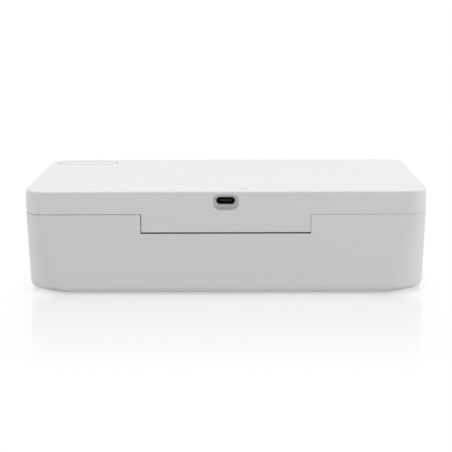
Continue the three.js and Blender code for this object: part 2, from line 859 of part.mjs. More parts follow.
// The recess of one foot, and the stepped hole of the screw above it
function footCuts([x, y]) {
  const headTop = wall + floorBossHeight / 3;
  const recess = solid(post(footRadius + seatGap, -overrun, footRecess, x, y, roundSteps));
  const head = solid(post(screwHeadHoleRadius, -overrun, headTop, x, y));
  const shank = solid(post(screwHoleRadius, 0, wall + floorBossHeight + overrun, x, y));
  return joined(recess, head, shank);
}

function baseShell() {
  const end = notchHalfWidth + baseBarrelLength;
  const barrels = [[notchHalfWidth, end], [-end, -notchHalfWidth]].map(
    ([left, right]) => solid(hingeRod(baseBarrelRadius, left, right)));
  const bosses = footPlaces().map(
    ([x, y]) => solid(post(floorBossRadius, wall / 2, wall + floorBossHeight, x, y)));
  const bore = solid(hingeRod(boreRadius, -end - overrun, end + overrun));
  const whole = joined(baseSkin(), ...barrels, ...bosses);
  return cutBy(whole, bore, thumbScoop(), ...footPlaces().map(footCuts));
}

function hingeShaft() {
  const end = notchHalfWidth + baseBarrelLength - shaftEndInset;
  return hingeRod(shaftRadius, -end, end);
}

// The level rim that covers the gap between the tray and the base, cut back at the hinge
function trayRim() {
  const top = trayRimTop;
  const rim = outlineSolid(bodyOutline, wall + seatGap, [top - trayRimThickness, top]);
  const low = [-trayRimNotchHalf, trayRear, top - trayRimThickness - overrun];
  const high = [trayRimNotchHalf, boxDepth, top + overrun];
  return rim.subtract(solid(block(low, high)));
}

// Low ribs across the tray's floor that hold things up from it
function trayRibs() {
  const floor = trayBottom + trayFloor;
  const ribs = [];
  for (let rib = 0; rib < trayRibCount; rib += 1) {
    const y = (rib - (trayRibCount - 1) / 2) * trayRibPitch;
    ribs.push(solid(block(
        [trayRibEndInset - halfWidth, y - trayRibWidth / 2, floor - trayFloor / 2],
        [halfWidth - trayRibEndInset, y + trayRibWidth / 2, floor + trayRibHeight],
    )));
  }
  return ribs;
}

function baseTray() {
  const outerRounds = filletHeights(trayBottom + trayFillet, trayFillet, -1).reverse();
  const outer = outlineSolid(trayOutline, 0, [...outerRounds, trayRimTop]);
  const innerRadius = trayFillet - trayWall;
  const innerRounds = filletHeights(trayBottom + trayFillet, innerRadius, -1).reverse();
  const hollow = outlineSolid(trayOutline, trayWall, [...innerRounds, seamHeight, seamHeight + overrun]);
  const bossBottom = trayBottom - trayBossHeight;
  const bosses = footPlaces().map(
    ([x, y]) => solid(post(trayBossRadius, bossBottom, trayBottom + trayFloor / 2, x, y)));
  const holeTop = trayBottom + trayFloor * 2 / 3;
  const holes = footPlaces().map(
    ([x, y]) => solid(post(screwHoleRadius, bossBottom - overrun, holeTop, x, y)));
  const whole = joined(outer.add(trayRim()).subtract(hollow), ...trayRibs(), ...bosses);
  return cutBy(whole, ...holes);
}

function chamberSeal() {
  const bottom = trayRimTop + seatGap;
  const top = bottom + sealHeight;
  const edge = trayWall - sealEdge;
  const ring = (inset, low, high) => solid(loft(
    [low, high].map((z) => ringPoints(trayOutline(trayRimTop, inset), z))));
  return ring(edge - sealWidth, bottom, top).subtract(ring(edge, bottom - overrun, top + overrun));
}

// A round foot with a bevelled edge, drawn from its underside up
function foot() {
  const bevel = footRadius - footDomeRadius;
  const profile = [
    [0, 0],
    [footDomeRadius, 0],
    [footRadius, bevel / 2],
    [footRadius, footThickness],
    [0, footThickness],
  ];
  const points = profile.map(([radius, z]) => new THREE.Vector2(radius, z));
  return new THREE.LatheGeometry(points, roundSteps).rotateX(Math.PI / 2).translate(0, 0, -footProud);
}

function placeBase() {
  place('base_shell', geometryOf(baseShell()), 'whiteShell');
  place('base_liner', geometryOf(baseTray()), 'mirrorTray');
  place('chamber_seal', geometryOf(chamberSeal()), 'rubber');
  place('hinge_shaft', hingeShaft(), 'steel');
  footPlaces().forEach(([x, y], copy) => {
    place(`foot_${copy + 1}`, foot(), 'rubber', x, y);
    place(`base_screw_${copy + 1}`, screwGeometry(baseScrewLength), 'steel', x, y, footRecess + seatGap);
  });
  const magnetY = -(halfDepth - wall - seatGap - magnetThickness / 2);
  const magnetZ = trayRimTop - trayRimThickness - seatGap - magnetHeight;
  [1, -1].forEach((side, copy) => {
    place(`base_magnet_${copy + 1}`, magnet(), 'magnet', side * magnetX, magnetY, magnetZ);
  });
}

function placeLidShells() {
  place('lid_cover', geometryOf(lidCover()), 'whiteShell');
  place('lid_inner_cover', geometryOf(lidInnerCover()), 'mirrorTray');
  lidScrewPlaces().forEach(([x, y], copy) => {
    const z = innerCoverHeight + seatGap / 2;
    place(`lid_screw_${copy + 1}`, screwGeometry(lidScrewLength), 'steel', x, y, z);
  });
  const magnetY = -(halfDepth - wall - seatGap - magnetThickness / 2);
  [1, -1].forEach((side, copy) => {
    place(`lid_magnet_${copy + 1}`, magnet(), 'magnet', side * magnetX, magnetY, innerCoverTop + seatGap);
  });
}

function placeLamps() {
  place('lamp_board_right', lampBoard(), 'lampBoard', lampX, 0);
  place('lamp_board_left', lampBoard(), 'lampBoard', -lampX, 0);
  lampPlaces().forEach(([x, y], copy) => {
    place(`uv_led_${copy + 1}`, uvLamp(), 'lamp', x, y);
    place(`quartz_window_${copy + 1}`, quartzWindow(), 'quartz', x, y);
  });
}

function placeMainBoard() {
  place('main_board', geometryOf(mainBoard()), 'board');
  place('usb_c_shell', usbShell(), 'steel');
  place('usb_c_tongue', usbTongue(), 'tongue');
  const middle = mainBoardRear - mainBoardLength / 2;
  const chip = boardBlock(chipSide, chipSide, chipHeight);
  place('controller_chip', chip, 'chip', -chipSide, middle - chipSide);
  place('inductor', inductor(), 'chip', inductorSide, middle - inductorSide / 2);
  [1, 2].forEach((copy) => {
    const y = middle + (copy - 1.5) * capacitorPitch;
    place(`capacitor_${copy}`, capacitor(), 'capacitor', -chipSide * 3, y);
  });
  const led = boardBlock(statusLedSide, statusLedSide, statusLedHeight);
  place('status_led', led, 'lamp', lightX - statusLedOffset, lightY);
  place('status_light_pipe', geometryOf(statusLightPipe()), 'lightPipe', lightX, lightY);
  boardScrewPlaces().forEach(([x, y], copy) => {
    const z = mainBoardBottom - seatGap - screwHeadHeight;
    place(`board_screw_${copy + 1}`, screwGeometry(boardScrewLength), 'steel', x, y, z);
  });
}

function placeSwitch() {
  place('power_button', geometryOf(powerButton()), 'whiteButton', buttonX, buttonY);
  place('switch_plunger', switchPlunger(), 'chip', buttonX, buttonY);
  place('switch_body', geometryOf(switchBody()), 'chip', buttonX, buttonY);
  place('switch_board', switchBoard(), 'board', switchBoardX, switchBoardY);
  const sensorX = switchBoardX - switchBoardWidth / 2 + sensorInset;
  const sensorY = switchBoardY - switchBoardLength / 2 + sensorInset;
  place('lid_sensor', lidSensor(), 'chip', sensorX, sensorY);
}

function placeRibbons() {
  place('lamp_ribbon_right', lampRibbon(), 'ribbon', 0, lampRibbonY);
  place('lamp_ribbon_left', lampRibbon().rotateZ(Math.PI), 'ribbon', 0, lampRibbonY);
  const x = switchBoardX - switchBoardWidth / 2 + ribbonWidth / 2;
  place('switch_ribbon', switchRibbon(), 'ribbon', x, 0);
}

placeBase();
placeLidShells();
placeLamps();
placeMainBoard();
placeSwitch();
placeRibbons();

export default box;
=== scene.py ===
"""A white sterilizing box, dressed as a Blender add-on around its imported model.

Each operator makes one piece or one group of like pieces. The box's front is towards -Y, its hinge and
inlet are at +Y, and it stands on the plane Z = 0. Lengths are in metres, and MM turns millimetres to them.
"""

import math
from types import SimpleNamespace

import bmesh
import bpy
import numpy as np
from bpy.props import FloatProperty, FloatVectorProperty, IntProperty, PointerProperty, StringProperty
from mathutils import Matrix, Vector


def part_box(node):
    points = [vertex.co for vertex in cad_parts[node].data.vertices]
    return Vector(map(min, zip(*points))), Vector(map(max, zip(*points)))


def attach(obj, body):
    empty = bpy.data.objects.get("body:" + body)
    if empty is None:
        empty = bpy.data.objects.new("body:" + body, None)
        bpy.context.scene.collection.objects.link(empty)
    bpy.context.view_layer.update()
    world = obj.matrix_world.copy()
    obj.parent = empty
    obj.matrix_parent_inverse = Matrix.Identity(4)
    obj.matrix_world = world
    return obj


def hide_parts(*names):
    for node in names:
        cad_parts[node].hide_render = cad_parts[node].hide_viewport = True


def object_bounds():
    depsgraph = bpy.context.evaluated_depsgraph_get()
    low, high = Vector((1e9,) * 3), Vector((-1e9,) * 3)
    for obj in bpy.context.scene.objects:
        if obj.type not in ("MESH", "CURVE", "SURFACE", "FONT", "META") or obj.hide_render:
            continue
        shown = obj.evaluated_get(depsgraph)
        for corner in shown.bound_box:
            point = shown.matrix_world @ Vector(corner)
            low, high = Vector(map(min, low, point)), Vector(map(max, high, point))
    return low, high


bl_info = {
    "name": "Sterilizing box",
    "version": (1, 0, 0),
    "blender": (4, 5, 0),
    "location": "3D View > Sidebar > Sterilizer",
    "description": "Makes the shells, tray, button, inlet and lamps of a sterilizing box",
    "category": "Object",
}

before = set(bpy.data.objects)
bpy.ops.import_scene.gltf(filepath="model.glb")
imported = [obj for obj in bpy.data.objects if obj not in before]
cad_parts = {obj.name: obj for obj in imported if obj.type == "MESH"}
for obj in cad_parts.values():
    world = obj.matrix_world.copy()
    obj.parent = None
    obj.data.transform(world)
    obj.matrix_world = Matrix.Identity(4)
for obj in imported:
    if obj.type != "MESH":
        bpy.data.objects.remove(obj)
CAD_LOW, CAD_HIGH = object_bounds()
MM = 0.001
OVER = 1 * MM  # How far a tool reaches past the face that it cuts
SHELL_GAP = 0.2 * MM  # Gap between a shell and a piece inside it
HEAD_GAP, HEAD_DEPTH = 0.3 * MM, 0.9 * MM  # Gap round a screw's head, and depth of its counterbore
SHANK_HOLE = 1.2 * MM  # Radius of the hole for a screw's shank
BLOCK_WALL, BLOCK_BACK = 1 * MM, 1.5 * MM  # Walls of the block round the pocket and behind its floor
FINISHES = {}


# Geometry helpers


class Box:
    """A node's box: its corners, middle and size, and its place on the ground plane."""

    def __init__(self, node):
        self.low, self.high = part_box(node)
        self.middle = (self.low + self.high) / 2
        self.size = self.high - self.low
        self.plan = np.array([self.middle.x, self.middle.y, 0])


def mm(*lengths):
    """Millimetres as metres."""
    return np.array(lengths) * MM


def copies(name, count):
    """The names of a node's numbered copies."""
    return [f"{name}_{copy}" for copy in range(1, count + 1)]


def sizes(group):
    """A group of the user's sizes."""
    return getattr(bpy.context.scene, "box_" + group)


def arc(radius, steps, sweep=np.pi / 2):
    """Points of an arc that sets off straight along: r (1 - cos t) across and r sin t along."""
    turn = np.linspace(0, sweep, steps)
    return radius * (1 - np.cos(turn)), radius * np.sin(turn)


def rings(heights, half_x, half_y, radius, centre_y=0.0, steps=20):
    """Level rings of a box with round corners, one row for each height.

    A point's turn t runs once round; x = sx (half_x - r) + r cos t and y = centre + sy (half_y - r) + r sin t,
    where sx and sy are the signs of the quarter that t lies in.
    """
    parts = [np.asarray(part, float) for part in (heights, half_x, half_y, radius, centre_y)]
    z, wide, deep, corner, middle = (part[:, None] for part in np.broadcast_arrays(*parts))
    quarter = np.repeat(np.arange(4), steps + 1)
    turn = (quarter + np.tile(np.linspace(0, 1, steps + 1), 4)) * np.pi / 2
    sign_x, sign_y = np.array([1, -1, -1, 1])[quarter], np.array([1, 1, -1, -1])[quarter]
    x = sign_x * (wide - corner) + corner * np.cos(turn)
    y = middle + sign_y * (deep - corner) + corner * np.sin(turn)
    return np.stack([x, y, z + 0 * x], axis=-1)


def lathe(profile, steps=48):
    """Rings of (radius, height) pairs turned about the upright axis: x = r cos t and y = r sin t."""
    profile = np.asarray(profile, float)
    turn = np.arange(steps) / steps * 2 * np.pi
    x, y = profile[:, :1] * np.cos(turn), profile[:, :1] * np.sin(turn)
    return np.stack([x, y, profile[:, 1:] + 0 * x], axis=-1)


def turned(rows, axis):
    """The same rings with their own Z turned to the X or the Y axis, without a mirror."""
    x, y, z = np.moveaxis(rows, -1, 0)
    return np.stack([z, x, y] if axis == "X" else [-x, z, y], axis=-1)


def oval(depths, width, height, level):
    """Rings of an upright oval, for pulling along the Y axis: width across X and height along Z."""
    return turned(rings(depths, width / 2, height / 2, height / 2, steps=16), "Y") + np.array([0, 0, level])


def rod(radius, low, high, centre, axis="Z", steps=48):
    """The rings of a plain round rod between two places along an axis."""
    rows = lathe([(radius, low), (radius, high)], steps)
    return (rows if axis == "Z" else turned(rows, axis)) + np.asarray(centre, float)


def brick(low, high):
    """The rings of a plain box between two corners."""
    low, high = np.asarray(low, float), np.asarray(high, float)
    flat = low[:2] + np.array([[1, 1], [0, 1], [0, 0], [1, 0]]) * (high - low)[:2]
    return np.stack([np.column_stack([flat, np.full(4, level)]) for level in (low[2], high[2])])


def build(name, rows, loop=False):
    """A closed mesh over rings of equal count: quads between rings, and a cap at each end.

    The rings run anticlockwise seen from above while they climb on the outside. With loop the last
    ring joins the first instead of being capped.
    """
    count, around = rows.shape[:2]
    place = np.arange(count * around).reshape(count, around)
    lower, upper = (place, np.roll(place, -1, axis=0)) if loop else (place[:-1], place[1:])
    quads = np.stack([lower, np.roll(lower, -1, axis=1), np.roll(upper, -1, axis=1), upper], axis=-1)
    faces = quads.reshape(-1, 4).tolist()
    if not loop:
        faces += [place[0][::-1].tolist(), place[-1].tolist()]
    mesh = bpy.data.meshes.new(name)
    mesh.from_pydata(rows.reshape(-1, 3).tolist(), [], faces)
    mesh.update()
    made = bpy.data.objects.new(name, mesh)
    bpy.context.scene.collection.objects.link(made)
    return made


def carve(target, tool, operation="DIFFERENCE"):
    """Join a tool, an object or rings, to the target or cut it away, and delete it."""
    if isinstance(tool, np.ndarray):
        tool = build("tool", tool)
    cut = target.modifiers.new("carve", "BOOLEAN")
    cut.operation = operation
    cut.solver = "MANIFOLD"
    cut.object = tool
    apply_modifiers(target)
    bpy.data.objects.remove(tool)


def apply_modifiers(target):
    """Replace the object's mesh with what its modifiers make of it."""
    graph = bpy.context.evaluated_depsgraph_get()
    mesh = bpy.data.meshes.new_from_object(target.evaluated_get(graph))
    old = target.data
    target.modifiers.clear()
    target.data = mesh
    bpy.data.meshes.remove(old)


def soften(target, width, segments=3, crease=35.0, weld=0.002 * MM, flat=0.2):
    """Merge what lies within the weld distance or is flat, and round the edges sharper than the crease."""
    mesh = bmesh.new()
    mesh.from_mesh(target.data)
    bmesh.ops.remove_doubles(mesh, verts=mesh.verts, dist=weld)
    bmesh.ops.dissolve_limit(mesh, angle_limit=math.radians(flat), verts=mesh.verts, edges=mesh.edges)
    mesh.to_mesh(target.data)
    mesh.free()
    bevel = target.modifiers.new("edge", "BEVEL")
    bevel.limit_method = "ANGLE"
    bevel.angle_limit = math.radians(crease)
    bevel.width = width
    bevel.segments = segments
    bevel.use_clamp_overlap = True
    bevel.miter_outer = "MITER_ARC"
    apply_modifiers(target)
    smooth(target, crease)


def smooth(target, crease):
    """Smooth shading with creases kept above an angle in degrees, weighted to the large faces."""
    target.data.polygons.foreach_set("use_smooth", np.ones(len(target.data.polygons), bool))
    target.data.set_sharp_from_angle(angle=math.radians(crease))
    target.modifiers.new("weighted", "WEIGHTED_NORMAL").keep_sharp = True
    apply_modifiers(target)


def dress(piece, body, slot, look, *nodes):
    """Give a piece its finish, hide the nodes it stands for, and attach it to its body. The slot is not used.
    """
    piece.data.materials.clear()
    piece.data.materials.append(finish(look))
    if nodes:
        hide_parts(*nodes)
    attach(piece, body)


# Sizes and colours that a user may change


def number(name, description, default, **more):
    return FloatProperty(name=name, description=description, default=default, **more)


def length(name, description, millimetres):
    return number(name, description, millimetres * MM, unit="LENGTH", subtype="DISTANCE", precision=5)


def angle(name, description, radians):
    return number(name, description, radians, subtype="ANGLE")


class BodySizes(bpy.types.PropertyGroup):
    """Sizes of the two moulded shells."""

    seam_radius: length("Seam corner", "Radius of the upright corners at the seam", 11)
    bottom_radius: length("Bottom corner", "Radius of the upright corners at the bottom", 19)
    bottom_flare: length("Bottom flare", "Growth of the corner radius down the bottom curve", 8)
    top_round: length("Top round", "Radius of the lid's top edge", 0.9)
    bottom_round: length("Bottom round", "Radius of the curve at the foot of the walls", 6)
    bottom_turn: angle("Bottom turn", "How far that curve turns under", math.radians(26))
    bottom_edge: length("Bottom edge", "Radius of the edge below that curve", 0.2)
    bottom_lift: length("Bottom lift", "How far the underside stands above the modelled one", 0.45)
    wall: length("Wall", "Thickness of the moulded walls", 2)
    seam_gap: length("Seam gap", "Gap between the lid and the base", 0.22)
    rim_warp: length("Rim warp", "How much higher the base's rim stands at its -X end", 0.16)
    edge_round: length("Edge round", "Rounding left on the moulded edges", 0.15)
    light_dish: length("Light dish", "Radius of the shallow dish round the status light", 2.7)
    light_dish_depth: length("Light dish depth", "Depth of that dish", 0.14)
    base_draft: angle("Base draft", "Slope of the base's walls", math.radians(0.1))
    lid_draft: angle("Lid draft", "Slope of the lid's walls", math.radians(0.8))
    shell_colour: StringProperty(name="Shell colour", description="Colour of the shells", default="F3F2F4")


class HingeSizes(bpy.types.PropertyGroup):
    """Sizes of the tab, its notch and the barrels."""

    side_gap: length("Side gap", "Mean gap beside the tab", 0.3)
    side_shift: length("Side shift", "How far the tab stands towards -X in its notch", 0.13)
    bottom_gap: length("Bottom gap", "Gap under the tab", 0.74)
    inset: length("Axis inset", "Distance of the axis from the rear face", 2.6)
    sweep_gap: length("Sweep gap", "Gap round the rim's swing about the axis", 0.25)
    barrel: length("Barrel", "Radius of the lid's barrel", 2.2)
    base_barrel: length("Base barrel", "Radius of the base's barrels", 2.4)
    base_barrel_length: length("Base barrel length", "Length of each base barrel", 9.7)
    bore: length("Bore", "Radius of the bores", 1.25)


class PocketSizes(bpy.types.PropertyGroup):
    """Sizes of the inlet pocket and the connector."""

    width: length("Width", "Width of the pocket", 12.7)
    height: length("Height", "Height of the pocket", 8.3)
    radius: length("Radius", "Corner radius of the pocket", 3.2)
    depth: length("Depth", "Depth of the pocket", 6)
    mouth_round: length("Mouth round", "Rounding of the pocket's mouth", 0.3)
    mouth_drop: length("Mouth drop", "How far the mouth lies below the connector's middle", 0.17)
    taper: length("Taper", "How much each wall draws in from the mouth to the floor", 0.5)
    hole_gap: length("Hole gap", "Gap round the connector", 0.27)
    shell_wall: length("Connector wall", "Thickness of the connector's metal", 0.3)


class ButtonSizes(bpy.types.PropertyGroup):
    """Sizes of the power button."""

    end_gap: length("End gap", "Width of the groove at the ends of the cap", 0.55)
    side_gap: length("Side gap", "Mean width of the groove in front of the cap and behind it", 0.75)
    end_lap: length("End lap", "How much of the flange each end of the cap leaves bare", 1.1)
    side_lap: length("Side lap", "How much of the flange each side of the cap leaves bare on average", 1.05)
    cap_shift: length("Cap shift", "How far the cap stands behind the middle of its flange", 0.1)
    opening_shift: length("Opening shift", "How far its opening stands behind that middle", 0.3)
    edge_round: length("Edge round", "Rounding of the cap's edge", 0.15)
    dish: length("Dish", "Depth of the cap's hollow", 0.12)


class TraySizes(bpy.types.PropertyGroup):
    """Sizes of the tray."""

    wall: length("Wall", "Thickness of the tray's walls", 1.5)
    floor: length("Floor", "Thickness of the tray's floor", 1.6)
    fillet: length("Fillet", "Round between the tray's floor and walls", 4)
    rib_width: length("Rib width", "Width of a floor rib", 2)
    rib_height: length("Rib height", "Height of a floor rib", 1.2)
    rib_pitch: length("Rib pitch", "Distance between floor ribs", 17)
    rib_count: IntProperty(name="Ribs", description="Number of floor ribs", default=5)


class StageSettings(bpy.types.PropertyGroup):
    """Camera, floor and light."""

    camera_place: FloatVectorProperty(
        name="Camera", description="Place of the camera", default=(-5.71 * MM, 640.34 * MM, 151.03 * MM),
        subtype="TRANSLATION")
    camera_yaw: angle("Yaw", "Turn about Z", -0.0095)
    camera_pitch: angle("Pitch", "Tilt down", 0.19608)
    camera_roll: angle("Roll", "Roll about the line of sight", -0.0042)
    focal_pixels: number("Focal length", "In pixels of the frame", 1210.48)
    frame_pixels: number("Frame", "Width of the frame in pixels", 452.0)
    sky_level: number("Sky", "Strength of the sky as a light", 0.41)
    floor_level: number("Floor white", "White that the floor adds", 0.387)
    floor_fade: number("Floor fade", "Share of white that lightens the shadow by the box", 0.22)
    # Painted light: a share of white on the floor at the box's corners, which lightens the box's shadow there
    corner_painted_light: number("Corner fade", "Share of white at the box's corners", 0.8)
    floor_colour: StringProperty(name="Floor colour", description="Colour of the floor", default="B6B6B6")
    floor_roughness: number("Floor gloss", "Roughness of the floor", 0.06)
    top_power: number("Top light", "Power of the overhead light", 11.5)
    left_power: number("Left light", "Power of the light at +X", 3.3)
    right_power: number("Right light", "Power of the light at -X", 5.2)


# Materials


def linear(code):
    """The linear RGBA of an sRGB hex colour such as F0F0F0."""
    parts = [int(code[place:place + 2], 16) / 255 for place in (0, 2, 4)]
    bright = [part / 12.92 if part <= 0.04045 else ((part + 0.055) / 1.055) ** 2.4 for part in parts]
    return (*bright, 1.0)


def add_node(tree, kind, inputs=None, **settings):
    """Add one node with its settings. An input takes a value, an output's link or a node's first output."""
    made = tree.nodes.new("ShaderNode" + kind)
    for name, value in settings.items():
        setattr(made, name, value)
    for place, value in (inputs or {}).items():
        if isinstance(value, bpy.types.Node):
            value = value.outputs[0]
        if isinstance(value, bpy.types.NodeSocket):
            tree.links.new(value, made.inputs[place])
        else:
            made.inputs[place].default_value = value
    return made


def empty_tree(owner):
    """The cleared node tree of a material or a world."""
    owner.use_nodes = True
    owner.node_tree.nodes.clear()
    return owner.node_tree


def noise(grain, detail=3.0, roughness=0.5, stretch=(1, 1, 1)):
    """A noise with features about one grain across, in millimetres, and its scale along the axes."""
    return "TexNoise", stretch, {"Scale": 1 / (grain * MM), "Detail": detail, "Roughness": roughness}, {}


def bands(pitch, direction, distortion=0.0):
    """Even bands for a pitch in millimetres. They are drawn about six times as wide, so that they show."""
    inputs = {"Scale": 1 / (20 * pitch * MM), "Distortion": distortion}
    return "TexWave", (1, 1, 1), inputs, {"bands_direction": direction}


def add_pattern(tree, kind, stretch, inputs, settings):
    """The 0 to 1 output of a pattern on object coordinates."""
    place = add_node(tree, "TexCoord").outputs["Object"]
    if stretch != (1, 1, 1):
        place = add_node(tree, "Mapping", {"Vector": place, "Scale": stretch})
    return add_node(tree, kind, {"Vector": place, **inputs}, **settings).outputs["Fac"]


def make_material(name, colours, pattern, low, high, inputs, bump=None, relief=None):
    """A material whose pattern runs its roughness from low to high and mixes its colours where it has two.

    The inputs are constants for the shader's own sockets. The bump is a height in millimetres and a
    strength, and it follows the relief, or else the same pattern.
    """
    material = bpy.data.materials.new(name)
    tree = empty_tree(material)
    factor = add_pattern(tree, *pattern)
    roughness = add_node(tree, "MapRange", {"Value": factor, "To Min": low, "To Max": high})
    tints = [linear(colour) for colour in colours]
    inputs = {"Base Color": tints[0], **inputs, "Roughness": roughness}
    if len(tints) > 1:
        mix = add_node(tree, "Mix", {0: factor, 6: tints[0], 7: tints[1]}, data_type="RGBA")
        inputs["Base Color"] = mix.outputs[2]
    if bump:
        height = add_pattern(tree, *relief) if relief else factor
        inputs["Normal"] = add_node(
            tree, "Bump", {"Height": height, "Distance": bump[0] * MM, "Strength": bump[1]})
    add_node(tree, "OutputMaterial", {"Surface": add_node(tree, "BsdfPrincipled", inputs)})
    return material


# ABS shot into a finely spark-eroded mould: satin, with a faint grain that breaks its highlights. The grain
# is about 0.15 mm across and is drawn at 0.5 mm so that it shows
WHITE_ABS = noise(30, 2.0), 0.36, 0.44, {"IOR": 1.53}, (0.006, 0.5), noise(0.5, 4.0, 0.6)
# Silicone rubber moulded in a blasted tool: matt and even, a little dusty
SILICONE = noise(1.2, 4.0), 0.62, 0.8, {"IOR": 1.41}, (0.01, 0.6)
# Glass epoxy board under cured solder mask: semi-gloss, with a weave that barely shows. The glass cloth has
# a thread every 0.6 mm or so
MASK_SHADER = {"IOR": 1.52, "Coat Weight": 0.3, "Coat Roughness": 0.2}
SOLDER_MASK = bands(0.6, "DIAGONAL", 1.5), 0.35, 0.5, MASK_SHADER, (0.01, 0.4)
METAL = {"Metallic": 1.0}
RECIPES = {
    "button": ("moulded_white_abs_button", ["EFEEF0"], *WHITE_ABS),
    "foot": ("moulded_silicone_foot", ["B4B4B2", "CFCFCC"], *SILICONE),
    "seal": ("moulded_silicone_seal", ["D6D6D4", "CFCFCC"], *SILICONE),
    "board": ("green_solder_mask", ["1C6A3A", "23784A"], *SOLDER_MASK),
    "lamp_board": ("white_solder_mask", ["ECECE8", "E2E2DC"], *SOLDER_MASK),
    # Vacuum metallised plastic: a mirror that waves over about 25 mm, softened by its lacquer's fine haze
    "mirror": ("metallised_plastic", ["DADCDF"], noise(1.5), 0.1, 0.2, METAL, (0.12, 0.5), noise(25, 1.0)),
    # Steel drawn or stamped and nickel plated: bright and warm, with die lines 0.1 mm apart that run along it
    "nickel": (
        "nickel_plated_steel", ["C2BEB6"], noise(0.1, 2.0, stretch=(1.0, 0.05, 1.0)), 0.2, 0.36, METAL,
        (0.003, 0.5)),
    # Stamped steel under black nickel: a dark, slightly brown metal with soft highlights
    "dark_nickel": ("black_nickel_plated_steel", ["5C574F"], noise(0.8), 0.3, 0.45, METAL),
    # Copper with a flash of gold: smooth and yellow
    "gold": ("gold_flash", ["D9B45C"], noise(0.3), 0.2, 0.35, METAL),
    # Deep drawn aluminium of a capacitor's can: bright and slightly streaked
    "can": ("drawn_aluminium_can", ["C9CCD0"], noise(0.5), 0.22, 0.38, METAL),
    # Glass-filled nylon: near black, matt, with fibres that mottle its skin
    "black": (
        "black_glass_filled_nylon", ["141416", "2A2A2E"], noise(0.4, 5.0, 0.7), 0.45, 0.65, {"IOR": 1.53},
        (0.01, 0.5)),
    # Fused quartz, ground and polished: clear, faintly cool, with a bright gloss
    "quartz": ("fused_quartz", ["F2F6FC"], noise(2), 0.01, 0.05, {"IOR": 1.458, "Transmission Weight": 0.95}),
    # Aluminium nitride ceramic of a lamp's package: pale, matt, finely granular
    "ceramic": (
        "lamp_ceramic", ["D8CFAE", "EDE6CC"], noise(0.2, 4.0), 0.4, 0.6, {"IOR": 1.75}, (0.005, 0.5)),
    # Diffusing polycarbonate: milky, slightly greyer than the shell, satin at its cut end
    "pipe": (
        "diffusing_polycarbonate", ["DCDDDA", "E4E5E2"], noise(1.0), 0.3, 0.4,
        {"IOR": 1.585, "Transmission Weight": 0.15}),
    # Polyester film laminated over flat conductors 0.5 mm apart: pale, glossy, ribbed by the conductors
    "film": (
        "laminated_cable_film", ["EFEFEA", "D9D6CC"], bands(0.5, "Y"), 0.3, 0.42, {"IOR": 1.57}, (0.02, 0.6)),
}


def finish(look):
    """The material of a look, made once."""
    if look not in FINISHES:
        shell = "moulded_white_abs", [sizes("body").shell_colour], *WHITE_ABS
        FINISHES[look] = make_material(*RECIPES.get(look, shell))
    return FINISHES[look]


# The box's skin


def levels():
    """The heights that the skin is drawn from: the bottom, the two sides of the seam and the top."""
    rise = 0.15 * MM  # Of the seam above the middle of the base's top and the seal's foot
    bottom, base_top = (corner.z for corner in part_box("base_shell"))
    middle = (base_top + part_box("chamber_seal")[0].z) / 2 + rise
    gap, top = sizes("body").seam_gap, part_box("lid_cover")[1].z
    rim, lid = middle - gap / 2, middle + gap / 2
    return SimpleNamespace(bottom=bottom, rim=rim, seam=(rim + lid) / 2, lid=lid, top=top)


def edge_inset(radius, depth):
    """How far a round edge draws the skin in at a depth past its start: r - sqrt(r^2 - d^2)."""
    depth = np.clip(depth, 0, max(radius, 0))
    return 0 * depth if radius <= 0 else radius - np.sqrt(np.maximum(radius ** 2 - depth ** 2, 0))


def foot_profile():
    """The foot of the walls as (height above the underside, inset) pairs, from the underside up.

    The wall's curve has points R (1 - cos t) in and R sin t down, up to its turn. From there the small
    edge goes on as s (cos turn - cos t) further in and s (sin t - sin turn) down, to the underside.
    """
    body = sizes("body")
    turn, curve, edge = body.bottom_turn, body.bottom_round, body.bottom_edge
    drawn, down = arc(curve, 12, turn)
    turns = np.linspace(turn, np.pi / 2, 6)[1:]
    down = np.r_[down, curve * math.sin(turn) + edge * (np.sin(turns) - math.sin(turn))]
    drawn = np.r_[drawn, curve * (1 - math.cos(turn)) + edge * (math.cos(turn) - np.cos(turns))]
    return (down[-1] - down)[::-1], drawn[::-1]


def wall_cone(heights):
    """How far heights lie below the seam, and how much the corner radius has grown evenly down to there."""
    body, level = sizes("body"), levels()
    below = np.maximum(level.seam - heights, 0)
    return below, (body.bottom_radius - body.seam_radius) * below / (level.seam - level.bottom)


def skin(heights, inset):
    """Rows of the skin at heights, drawn in by an inset.

    The walls slope outwards to the seam from both ends. The corner radius grows down the base, and by the
    flare down the foot of its walls. The top edge is a quarter round.
    """
    body, level = sizes("body"), levels()
    heights = np.asarray(heights, float)
    below, cone = wall_cone(heights)
    above = np.maximum(heights - level.seam, 0)
    taper = below * math.tan(body.base_draft) + above * math.tan(body.lid_draft)
    foot_heights, foot_insets = foot_profile()
    lower = np.interp(heights - level.bottom - body.bottom_lift, foot_heights, foot_insets)
    upper = edge_inset(body.top_round - inset, heights - (level.top - body.top_round))
    draw = taper + lower + upper + inset
    flare = body.bottom_flare * lower / foot_insets[0]
    half_x, half_y = (CAD_HIGH.x - CAD_LOW.x) / 2 - draw, (CAD_HIGH.y - CAD_LOW.y) / 2 - draw
    return rings(heights, half_x, half_y, body.seam_radius + cone + flare - draw)


def notch_half():
    """Half the width of the base's notch, from the shaft that spans it and ends inside the base's barrels."""
    shaft_short = 1.5 * MM
    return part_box("hinge_shaft")[1].x - sizes("hinge").base_barrel_length + shaft_short


# The lid


def lid_skin():
    """The skin from the ceiling down the inside and up the outside to the top."""
    body, level = sizes("body"), levels()
    inner = skin([level.top - body.wall, level.lid], body.wall)
    rounds = level.top - body.top_round + arc(body.top_round, 10)[1]
    return build("lid_shell", np.concatenate([inner, skin(np.r_[level.lid, rounds], 0.0)]))


